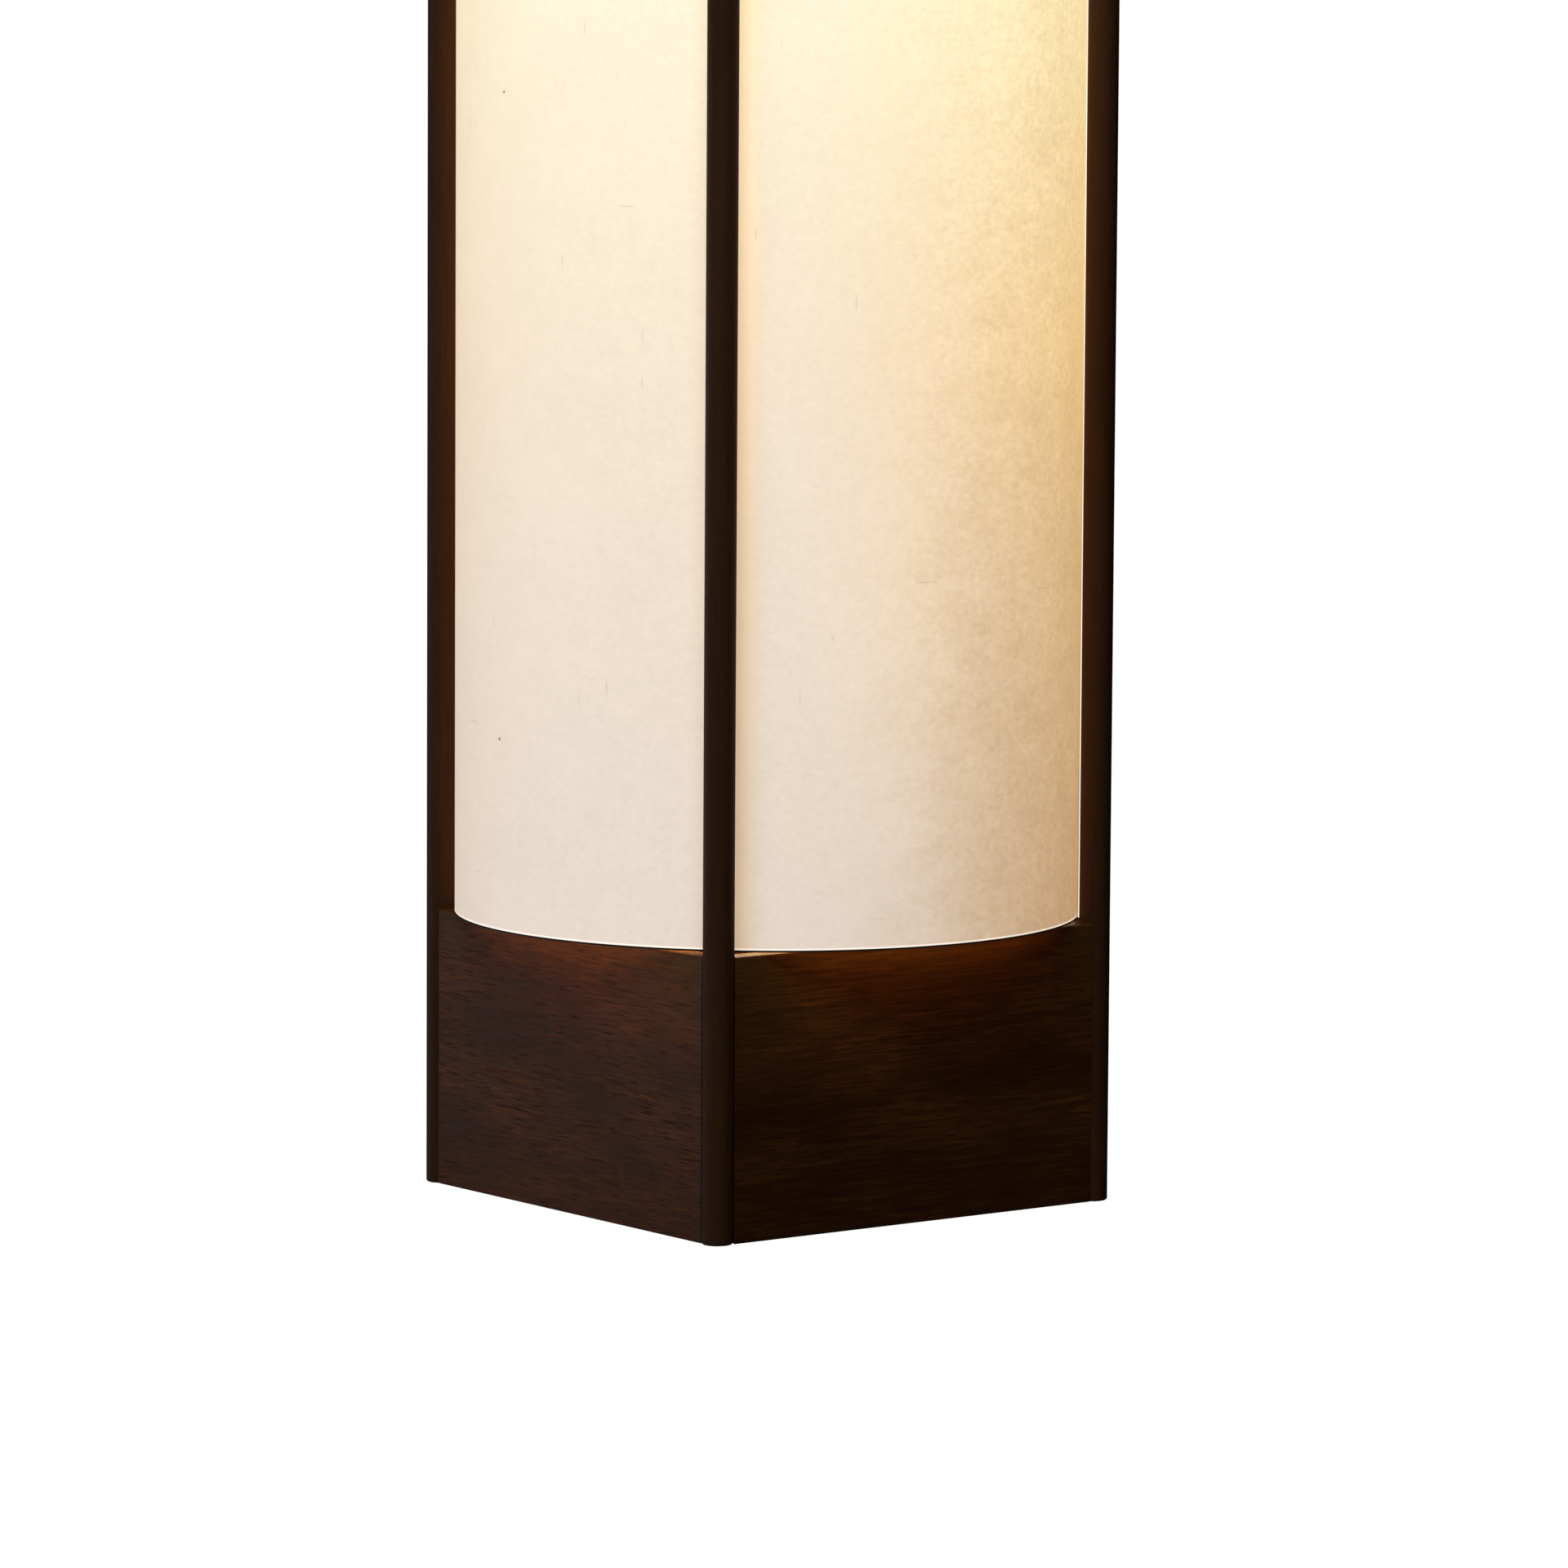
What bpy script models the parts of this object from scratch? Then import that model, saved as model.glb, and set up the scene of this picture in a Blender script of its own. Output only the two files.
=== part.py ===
"""Square hanging lantern: round corner posts, flat panels, a rolled parchment shade and its lampholder.

The lantern hangs from the mouth of its cord gland, which is the origin. +Z points up, and the front is -Y.
"""

import math

import bmesh
import bpy
from mathutils import Matrix, Vector

MM = 0.001

# Clearances
JOINT_GAP = 0.3 * MM  # between pieces that touch
THREAD_GAP = 0.4 * MM  # between the bulb's cap and the screw shell
SHADE_POST_GAP = 1.0 * MM
SHADE_PANEL_GAP = 1.2 * MM

# Wooden frame
POST_PITCH = 182 * MM  # between post centres, both ways
POST_DIAMETER = 12 * MM
POST_END_ROUND = 1.0 * MM
FRAME_HEIGHT = 780 * MM
PANEL_HEIGHT = 109 * MM
PANEL_THICKNESS = 9 * MM
PANEL_EDGE_ROUND = 0.6 * MM
CORNER_RELIEF = 1 * MM  # depth of the relief where the inner corners of two panels meet
TENON_THICKNESS = 4 * MM
TENON_SHOULDER = 6 * MM  # plain panel above and below a tenon
MORTISE_WALL = 0.6 * MM  # wood left between the two mortises of a post
BOARD_THICKNESS = 12 * MM
BOARD_RECESS = 4 * MM  # from the panels' top edges down to the board
BOARD_TONGUE_THICKNESS = 5 * MM
BOARD_TONGUE_LENGTH = 3 * MM

# Rolled shade and its wires
SHEET_WALL = 0.8 * MM
SHEET_LAP = 14 * MM  # overlap of the glued seam
SHEET_RAMP = 10 * MM  # length over which the sheet climbs onto its other end
WIRE_DIAMETER = 3 * MM
WIRE_INSET = 4 * MM  # from the sheet's edge to the middle of its wire
SPOKE_COUNT = 4
SPOKE_LAP = 3 * MM  # welded length of a spoke on the hub plate
HUB_THICKNESS = 1.5 * MM

# Hanging stem
STEM_DIAMETER = 10 * MM
STEM_BORE = 8 * MM
STEM_GRIP = 6.5 * MM  # length held in the gland above and in the lampholder below
STEM_NUT_ACROSS = 14 * MM
STEM_NUT_THICKNESS = 4 * MM
WASHER_DIAMETER = 28 * MM
WASHER_THICKNESS = 1.5 * MM

# Cord gland
GLAND_HEX_ACROSS = 17 * MM
GLAND_HEX_HEIGHT = 7 * MM
GLAND_SPIGOT_DIAMETER = 14 * MM
GLAND_SPIGOT_HEIGHT = 8.5 * MM
GLAND_SPIGOT_WALL = 1.4 * MM
GLAND_WEB = 1.5 * MM  # floor under the seal
GLAND_NUT_WALL = 2 * MM
GLAND_NUT_ROOF = 2.2 * MM
GLAND_NUT_ROUND = 3 * MM
CORD_HOLE = 7.2 * MM

# Bulb
BULB_CAP_DIAMETER = 26.2 * MM
BULB_CAP_LENGTH = 18 * MM
BULB_CAP_WALL = 0.8 * MM
BULB_CAP_SHOULDER = 3 * MM
BULB_INSULATOR_DIAMETER = 17 * MM
BULB_INSULATOR_HEIGHT = 4 * MM
BULB_TIP_DIAMETER = 9 * MM
BULB_TIP_HEIGHT = 1.6 * MM
BULB_TIP_STALK = 3 * MM  # diameter of the tip's stalk
BULB_DIAMETER = 60 * MM
BULB_GLOBE_WALL = 1.5 * MM
BULB_GLOBE_RISE = 12 * MM  # from the globe's centre up to its rim
BULB_HOUSING_HEIGHT = 36 * MM
BULB_HOUSING_LIP = 3 * MM

# Lampholder
SHELL_WALL = 1.0 * MM
SHELL_LENGTH = 22 * MM
SHELL_LIP = 3 * MM  # inward lip at the shell's top
HOLDER_WALL = 4.5 * MM
SKIRT_LENGTH = 22 * MM
CLAMP_DIAMETER = 47 * MM  # seat of the hub plate, above and below it
CLAMP_THICKNESS = 3 * MM
BARREL_HEIGHT = 10 * MM  # plain barrel above the seat
SPIGOT_HEIGHT = 7 * MM  # barrel's end inside the cap
SPIGOT_WALL = 2 * MM
LEDGE_THICKNESS = 2 * MM
LEDGE_WIDTH = 3 * MM
LEDGE_LIFT = 8 * MM  # from the seat up to the underside of the ledge
BLOCK_THICKNESS = 9 * MM
TERMINAL_SPACING = 17 * MM
TERMINAL_SHANK = 2.6 * MM
TERMINAL_DEPTH = 4.5 * MM
TERMINAL_HEAD = 5 * MM
TERMINAL_HEAD_HEIGHT = 2 * MM
CONTACT_WIDTH = 6 * MM
CONTACT_THICKNESS = 0.8 * MM
CONTACT_REACH = 7 * MM  # from the axis to the fold of the spring finger
CONTACT_DROP = 7.5 * MM
RING_HEIGHT = 9 * MM
RING_WALL = 2.5 * MM
CAP_WALL = 2.5 * MM
CAP_SKIRT = 9 * MM
CAP_DOME = 13 * MM
CAP_NECK_DIAMETER = 16 * MM
CAP_NECK_HEIGHT = 8 * MM

# Facets
SMALL_STEPS = 28
SCREW_STEPS = 12
WIRE_STEPS = 64
WIRE_SIDES = 6
SHEET_STEPS = 160
ARC_STEPS = 6
GLOBE_STEPS = 8
CUT_MARGIN = 2 * MM  # how far a cutter reaches past what it cuts

# Plan of the frame
POST_RADIUS = POST_DIAMETER / 2
HALF_PITCH = POST_PITCH / 2
POST_CIRCLE = HALF_PITCH * math.sqrt(2)
MORTISE_HALF_WIDTH = TENON_THICKNESS / 2 + JOINT_GAP
MORTISE_FLOOR = MORTISE_HALF_WIDTH + MORTISE_WALL  # from the post's centre
TENON_END = MORTISE_FLOOR + JOINT_GAP
PANEL_INSIDE = HALF_PITCH - PANEL_THICKNESS / 2
SHEET_RADIUS = POST_CIRCLE - POST_RADIUS - SHADE_POST_GAP
WIRE_CIRCLE = SHEET_RADIUS - SHEET_WALL - JOINT_GAP - WIRE_DIAMETER / 2

# Radii of the lampholder
SHELL_INSIDE = BULB_CAP_DIAMETER / 2 + THREAD_GAP
SHELL_OUTSIDE = SHELL_INSIDE + SHELL_WALL
HOLDER_INSIDE = SHELL_OUTSIDE + JOINT_GAP
HOLDER_OUTSIDE = HOLDER_INSIDE + HOLDER_WALL
SPIGOT_INSIDE = HOLDER_INSIDE + JOINT_GAP
SPIGOT_OUTSIDE = SPIGOT_INSIDE + SPIGOT_WALL
LEDGE_INSIDE = HOLDER_INSIDE - LEDGE_WIDTH
CAP_INSIDE = SPIGOT_OUTSIDE + JOINT_GAP
CAP_OUTSIDE = CAP_INSIDE + CAP_WALL
CLAMP_RADIUS = CLAMP_DIAMETER / 2
HUB_INSIDE = HOLDER_OUTSIDE + JOINT_GAP
HUB_OUTSIDE = CLAMP_RADIUS + JOINT_GAP + SPOKE_LAP
STEM_HOLE = STEM_DIAMETER / 2 + JOINT_GAP

# Levels, from the cord's mouth down
GLAND_NUT_HEIGHT = GLAND_SPIGOT_HEIGHT + GLAND_NUT_ROOF
GLAND_HEX_TOP = -GLAND_NUT_HEIGHT - JOINT_GAP
GLAND_BASE = GLAND_HEX_TOP - GLAND_HEX_HEIGHT
UPPER_NUT_BASE = GLAND_BASE - JOINT_GAP - STEM_NUT_THICKNESS
UPPER_WASHER_BASE = UPPER_NUT_BASE - JOINT_GAP - WASHER_THICKNESS
BOARD_TOP = UPPER_WASHER_BASE - JOINT_GAP
BOARD_BASE = BOARD_TOP - BOARD_THICKNESS
LOWER_WASHER_BASE = BOARD_BASE - JOINT_GAP - WASHER_THICKNESS
LOWER_NUT_BASE = LOWER_WASHER_BASE - JOINT_GAP - STEM_NUT_THICKNESS
FRAME_TOP = BOARD_TOP + BOARD_RECESS
FRAME_BASE = FRAME_TOP - FRAME_HEIGHT
SHEET_BASE = FRAME_BASE + PANEL_HEIGHT + SHADE_PANEL_GAP
SHEET_TOP = FRAME_TOP - PANEL_HEIGHT - SHADE_PANEL_GAP
HUB_LEVEL = SHEET_TOP - WIRE_INSET
SEAT_LEVEL = HUB_LEVEL + HUB_THICKNESS / 2 + JOINT_GAP
BARREL_TOP = SEAT_LEVEL + CLAMP_THICKNESS + BARREL_HEIGHT
LEDGE_BASE = SEAT_LEVEL + LEDGE_LIFT
LEDGE_TOP = LEDGE_BASE + LEDGE_THICKNESS
BLOCK_BASE = LEDGE_TOP + JOINT_GAP
CAP_BASE = BARREL_TOP + JOINT_GAP
CAP_TOP = CAP_BASE + CAP_SKIRT + CAP_DOME + CAP_NECK_HEIGHT
STEM_TOP = GLAND_BASE + STEM_GRIP
STEM_BASE = CAP_TOP - STEM_GRIP
CONTACT_TOP = BLOCK_BASE - JOINT_GAP
CONTACT_BASE = CONTACT_TOP - CONTACT_DROP
TIP_TOP = CONTACT_BASE - JOINT_GAP
TIP_BASE = TIP_TOP - BULB_TIP_HEIGHT
INSULATOR_TOP = TIP_BASE - JOINT_GAP
INSULATOR_BASE = INSULATOR_TOP - BULB_INSULATOR_HEIGHT
BULB_CAP_TOP = INSULATOR_BASE - JOINT_GAP
BULB_CAP_BASE = BULB_CAP_TOP - BULB_CAP_LENGTH
HOUSING_TOP = BULB_CAP_BASE - JOINT_GAP
HOUSING_BASE = HOUSING_TOP - BULB_HOUSING_HEIGHT
GLOBE_CENTRE = HOUSING_BASE - JOINT_GAP - BULB_GLOBE_RISE

SIDES = ("front", "right", "back", "left")
CORNERS = ("front_left", "front_right", "back_right", "back_left")


def clear_scene():
    for old in list(bpy.data.objects):
        bpy.data.objects.remove(old, do_unlink=True)


def new_collection(name, shown=True):
    made = bpy.data.collections.new(name)
    bpy.context.scene.collection.children.link(made)
    made.hide_render = not shown
    return made


def new_material(name, colour, roughness, metallic=0.0):
    made = bpy.data.materials.new(name)
    made.use_nodes = True
    shader = made.node_tree.nodes["Principled BSDF"]
    shader.inputs["Base Color"].default_value = (*colour, 1.0)
    shader.inputs["Roughness"].default_value = roughness
    shader.inputs["Metallic"].default_value = metallic
    made.diffuse_color = (*colour, 1.0)
    return made


def new_empty(name, level, parent=None):
    """An empty on the lantern's axis, which carries the pieces placed under it."""
    made = bpy.data.objects.new(name, None)
    made.empty_display_size = POST_DIAMETER
    made.location.z = level
    made.parent = parent
    PIECES.objects.link(made)
    return made


def object_from(name, shape, collection):
    """A new object from a bmesh, which is freed."""
    mesh = bpy.data.meshes.new(name)
    shape.to_mesh(mesh)
    shape.free()
    made = bpy.data.objects.new(name, mesh)
    collection.objects.link(made)
    return made


def box_shape(low, high):
    """A box between two corners."""
    low, high = Vector(low), Vector(high)
    shape = bmesh.new()
    place = Matrix.Translation((low + high) / 2) @ Matrix.Diagonal((*(high - low), 1.0))
    bmesh.ops.create_cube(shape, size=1.0, matrix=place)
    return shape


def rod_shape(radius, low, high, sides=SMALL_STEPS, at=(0.0, 0.0)):
    """An upright round or hexagonal rod between two levels."""
    shape = bmesh.new()
    place = Matrix.Translation((*at, (low + high) / 2))
    bmesh.ops.create_cone(
        shape, cap_ends=True, segments=sides, radius1=radius, radius2=radius, depth=high - low, matrix=place
    )
    return shape


def cutter(name, shape):
    """A hidden object that only cuts or joins."""
    made = object_from(name, shape, CUTTERS)
    made.hide_render = True
    made.display_type = "WIRE"
    return made


def combine(piece, other, operation):
    """Cuts or joins with another object, which is carried by the piece."""
    other.parent = piece
    step = piece.modifiers.new(other.name, "BOOLEAN")
    step.operation = operation
    step.solver = "EXACT"
    step.object = other


def cut(piece, name, shape):
    combine(piece, cutter(name, shape), "DIFFERENCE")


def join(piece, name, shape):
    combine(piece, cutter(name, shape), "UNION")


def round_edges(piece, width, segments=2):
    step = piece.modifiers.new("rounded edges", "BEVEL")
    step.width = width
    step.segments = segments
    step.limit_method = "ANGLE"


def settle(piece):
    """Makes a piece's modifiers its own mesh, so that copies can share it."""
    seen = piece.evaluated_get(bpy.context.evaluated_depsgraph_get())
    mesh = bpy.data.meshes.new_from_object(seen)
    piece.modifiers.clear()
    piece.data = mesh


def finish(piece, material, parent, level=0.0, turn=0.0, round_piece=True):
    """Gives a piece its material and its place on the lantern's axis."""
    piece.data.materials.clear()
    piece.data.materials.append(material)
    if round_piece:
        piece.data.shade_smooth()
        piece.data.set_sharp_from_angle(angle=math.radians(40))
    piece.parent = parent
    piece.location.z = level
    piece.rotation_euler.z = turn


def turned(name, outline, closed, steps=SMALL_STEPS):
    """A piece turned about Z from (radius, level) points, which run down its outer side."""
    shape = bmesh.new()
    points = [shape.verts.new((radius, 0.0, level)) for radius, level in outline]
    for first, second in zip(points, points[1:]):
        shape.edges.new((first, second))
    if closed:
        shape.edges.new((points[-1], points[0]))
    piece = object_from(name, shape, PIECES)
    step = piece.modifiers.new("turning", "SCREW")
    step.steps = step.render_steps = steps
    step.use_merge_vertices = True
    step.merge_threshold = 0.00001
    return piece


def ring_outline(inside, outside, height):
    """Outline of a plain ring that stands on level 0."""
    return [(outside, height), (outside, 0.0), (inside, 0.0), (inside, height)]


def arc(centre, radius, start, end, steps=ARC_STEPS):
    """Points on an arc in the outline's plane, from one angle to another, in degrees."""
    turns = [math.radians(start + (end - start) * i / steps) for i in range(steps + 1)]
    return [(centre[0] + radius * math.cos(a), centre[1] + radius * math.sin(a)) for a in turns]


def sweep(start, end, ease, steps=ARC_STEPS):
    """Points from start to end whose radius follows an ease curve from 0 to 1 over the fall."""
    points = []
    for i in range(steps + 1):
        share = i / steps
        radius = start[0] + (end[0] - start[0]) * ease(share)
        points.append((radius, start[1] + (end[1] - start[1]) * share))
    return points


def make_posts(material, parent):
    """Four dowels, each with two mortises at its foot and two at its head for the panels' tenons."""
    first = object_from("post_" + CORNERS[0], rod_shape(POST_RADIUS, 0.0, FRAME_HEIGHT), PIECES)
    round_edges(first, POST_END_ROUND)
    reach = POST_RADIUS + CUT_MARGIN
    length = PANEL_HEIGHT - 2 * TENON_SHOULDER + 2 * JOINT_GAP
    foot = TENON_SHOULDER - JOINT_GAP
    head = FRAME_HEIGHT - TENON_SHOULDER + JOINT_GAP - length
    for end, low in (("foot", foot), ("head", head)):
        for axis in range(2):
            near, far = [-MORTISE_HALF_WIDTH] * 2, [MORTISE_HALF_WIDTH] * 2
            near[axis], far[axis] = MORTISE_FLOOR, reach
            cut(first, f"{end} mortise {axis}", box_shape((*near, low), (*far, low + length)))
    settle(first)
    for number, corner in enumerate(CORNERS):
        post = first if number == 0 else bpy.data.objects.new("post_" + corner, first.data)
        if number:
            PIECES.objects.link(post)
        turn = math.radians(90 * number)
        finish(post, material, parent, FRAME_BASE, turn)
        post.location.xy = Matrix.Rotation(turn, 2) @ Vector((-HALF_PITCH, -HALF_PITCH))


def panel_shape(name):
    """A panel of the front, standing on level 0: hollowed ends hug the posts and tenons enter them."""
    half = PANEL_THICKNESS / 2
    low = (-HALF_PITCH, -HALF_PITCH - half, 0.0)
    high = (HALF_PITCH, -HALF_PITCH + half, PANEL_HEIGHT)
    panel = object_from(name, box_shape(low, high), PIECES)
    round_edges(panel, PANEL_EDGE_ROUND)
    base, top = -CUT_MARGIN, PANEL_HEIGHT + CUT_MARGIN
    for side, way in (("left", -1), ("right", 1)):
        hug = rod_shape(POST_RADIUS + JOINT_GAP, base, top, at=(way * HALF_PITCH, -HALF_PITCH))
        cut(panel, f"{name} {side} end", hug)
        ends = sorted((way * (PANEL_INSIDE - JOINT_GAP), way * (HALF_PITCH + CUT_MARGIN)))
        relief_low = (ends[0], -PANEL_INSIDE - CORNER_RELIEF, base)
        relief_high = (ends[1], -PANEL_INSIDE + CUT_MARGIN, top)
        cut(panel, f"{name} {side} relief", box_shape(relief_low, relief_high))
    reach = HALF_PITCH - TENON_END
    tenon_low = (-reach, -HALF_PITCH - TENON_THICKNESS / 2, TENON_SHOULDER)
    tenon_high = (reach, -HALF_PITCH + TENON_THICKNESS / 2, PANEL_HEIGHT - TENON_SHOULDER)
    join(panel, f"{name} tenons", box_shape(tenon_low, tenon_high))
    return panel


def make_panels(material, parent):
    """Four panels at the foot of the posts and four at their head, which are grooved for the top board."""
    for row, level in (("lower", FRAME_BASE), ("upper", FRAME_TOP - PANEL_HEIGHT)):
        first = panel_shape(f"{row}_panel_{SIDES[0]}")
        if row == "upper":
            floor = -PANEL_INSIDE - BOARD_TONGUE_LENGTH - JOINT_GAP
            middle = BOARD_TOP - BOARD_THICKNESS / 2 - level
            half = BOARD_TONGUE_THICKNESS / 2 + JOINT_GAP
            groove_low = (-HALF_PITCH, floor, middle - half)
            groove_high = (HALF_PITCH, -PANEL_INSIDE + CUT_MARGIN, middle + half)
            cut(first, "board groove", box_shape(groove_low, groove_high))
        settle(first)
        for number, side in enumerate(SIDES):
            panel = first if number == 0 else bpy.data.objects.new(f"{row}_panel_{side}", first.data)
            if number:
                PIECES.objects.link(panel)
            finish(panel, material, parent, level, math.radians(90 * number))


def make_top_board(material, parent):
    """Square board whose tongue sits in the upper panels' grooves, hollowed round the posts."""
    inside = PANEL_INSIDE - JOINT_GAP
    slab = box_shape((-inside, -inside, 0.0), (inside, inside, BOARD_THICKNESS))
    board = object_from("top_board", slab, PIECES)
    middle = BOARD_THICKNESS / 2
    reach = PANEL_INSIDE + BOARD_TONGUE_LENGTH
    half = BOARD_TONGUE_THICKNESS / 2
    join(board, "board tongue", box_shape((-reach, -reach, middle - half), (reach, reach, middle + half)))
    low, high = -CUT_MARGIN, BOARD_THICKNESS + CUT_MARGIN
    for number in range(4):
        place = Matrix.Rotation(math.radians(90 * number), 2) @ Vector((HALF_PITCH, HALF_PITCH))
        cut(board, f"board corner {number}", rod_shape(POST_RADIUS + JOINT_GAP, low, high, at=place))
    cut(board, "board stem hole", rod_shape(STEM_HOLE, low, high))
    finish(board, material, parent, BOARD_BASE, round_piece=False)


def make_stem(metal, parent):
    """Threaded tube through the board, with a washer and a nut on either side of it."""
    outline = ring_outline(STEM_BORE / 2, STEM_DIAMETER / 2, STEM_TOP - STEM_BASE)
    finish(turned("hanging_stem", outline, closed=True), metal, parent, STEM_BASE)
    for name, level in (("upper_washer", UPPER_WASHER_BASE), ("lower_washer", LOWER_WASHER_BASE)):
        outline = ring_outline(STEM_HOLE, WASHER_DIAMETER / 2, WASHER_THICKNESS)
        finish(turned(name, outline, closed=True), metal, parent, level)
    corner = STEM_NUT_ACROSS / math.sqrt(3)
    for name, level in (("upper_stem_nut", UPPER_NUT_BASE), ("lower_stem_nut", LOWER_NUT_BASE)):
        nut = object_from(name, rod_shape(corner, 0.0, STEM_NUT_THICKNESS, sides=6), PIECES)
        cut(nut, f"{name} bore", rod_shape(STEM_HOLE, -CUT_MARGIN, STEM_NUT_THICKNESS + CUT_MARGIN))
        finish(nut, metal, parent, level, round_piece=False)


def make_gland(metal, rubber, parent):
    """Cord gland on the stem's upper end: a body, a rubber seal and a domed nut that squeezes it."""
    top = GLAND_HEX_HEIGHT + GLAND_SPIGOT_HEIGHT
    seal_floor = STEM_GRIP + JOINT_GAP + GLAND_WEB
    spigot = GLAND_SPIGOT_DIAMETER / 2
    pocket = spigot - GLAND_SPIGOT_WALL
    hexagon = rod_shape(GLAND_HEX_ACROSS / math.sqrt(3), 0.0, GLAND_HEX_HEIGHT, sides=6)
    body = object_from("gland_body", hexagon, PIECES)
    join(body, "gland spigot", rod_shape(spigot, GLAND_HEX_HEIGHT / 2, top))
    cut(body, "gland stem bore", rod_shape(STEM_HOLE, -CUT_MARGIN, STEM_GRIP + JOINT_GAP))
    cut(body, "gland cord hole", rod_shape(CORD_HOLE / 2, -CUT_MARGIN, top + CUT_MARGIN))
    cut(body, "gland seal pocket", rod_shape(pocket, seal_floor, top + CUT_MARGIN))
    finish(body, metal, parent, GLAND_BASE, round_piece=False)

    seal_height = top - seal_floor - JOINT_GAP
    outline = ring_outline(CORD_HOLE / 2, pocket - JOINT_GAP, seal_height)
    finish(turned("gland_seal", outline, closed=True), rubber, parent, GLAND_BASE + seal_floor + JOINT_GAP)

    inside = spigot + JOINT_GAP
    outside = inside + GLAND_NUT_WALL
    shoulder = (outside - GLAND_NUT_ROUND, GLAND_NUT_HEIGHT - GLAND_NUT_ROUND)
    roof = GLAND_NUT_HEIGHT - GLAND_NUT_ROOF + JOINT_GAP
    outline = [(CORD_HOLE / 2, GLAND_NUT_HEIGHT)] + arc(shoulder, GLAND_NUT_ROUND, 90, 0)
    outline += [(outside, 0.0), (inside, 0.0), (inside, roof), (CORD_HOLE / 2, roof)]
    finish(turned("gland_nut", outline, closed=True), metal, parent, -GLAND_NUT_HEIGHT)


def make_holder_body(plastic, parent):
    """Barrel of the lampholder: a skirt below its seat, and a ledge inside for the contact block."""
    step = CLAMP_THICKNESS + BARREL_HEIGHT
    top = step + SPIGOT_HEIGHT
    ledge_top = LEDGE_LIFT + LEDGE_THICKNESS
    outline = [
        (SPIGOT_OUTSIDE, top),
        (SPIGOT_OUTSIDE, step),
        (HOLDER_OUTSIDE, step),
        (HOLDER_OUTSIDE, CLAMP_THICKNESS),
        (CLAMP_RADIUS, CLAMP_THICKNESS),
        (CLAMP_RADIUS, 0.0),
        (HOLDER_OUTSIDE, 0.0),
        (HOLDER_OUTSIDE, -SKIRT_LENGTH),
        (HOLDER_INSIDE, -SKIRT_LENGTH),
        (HOLDER_INSIDE, LEDGE_LIFT),
        (LEDGE_INSIDE, LEDGE_LIFT),
        (LEDGE_INSIDE, ledge_top),
        (SPIGOT_INSIDE, ledge_top),
        (SPIGOT_INSIDE, top),
    ]
    finish(turned("holder_body", outline, closed=True), plastic, parent, SEAT_LEVEL)


def make_holder_cap(plastic, parent):
    """Domed cap of the lampholder, screwed on the stem."""
    neck = CAP_NECK_DIAMETER / 2
    dome_top = CAP_SKIRT + CAP_DOME
    top = dome_top + CAP_NECK_HEIGHT

    def ease(share):
        return math.sin(share * math.pi / 2)

    outer = sweep((neck, dome_top), (CAP_OUTSIDE, CAP_SKIRT), ease)
    inner = sweep((STEM_HOLE, dome_top - CAP_WALL), (CAP_INSIDE, CAP_SKIRT - CAP_WALL), ease)
    rim = [(CAP_OUTSIDE, 0.0), (CAP_INSIDE, 0.0)]
    outline = [(neck, top)] + outer + rim + inner[::-1] + [(STEM_HOLE, top)]
    finish(turned("holder_cap", outline, closed=True), plastic, parent, CAP_BASE)


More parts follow.
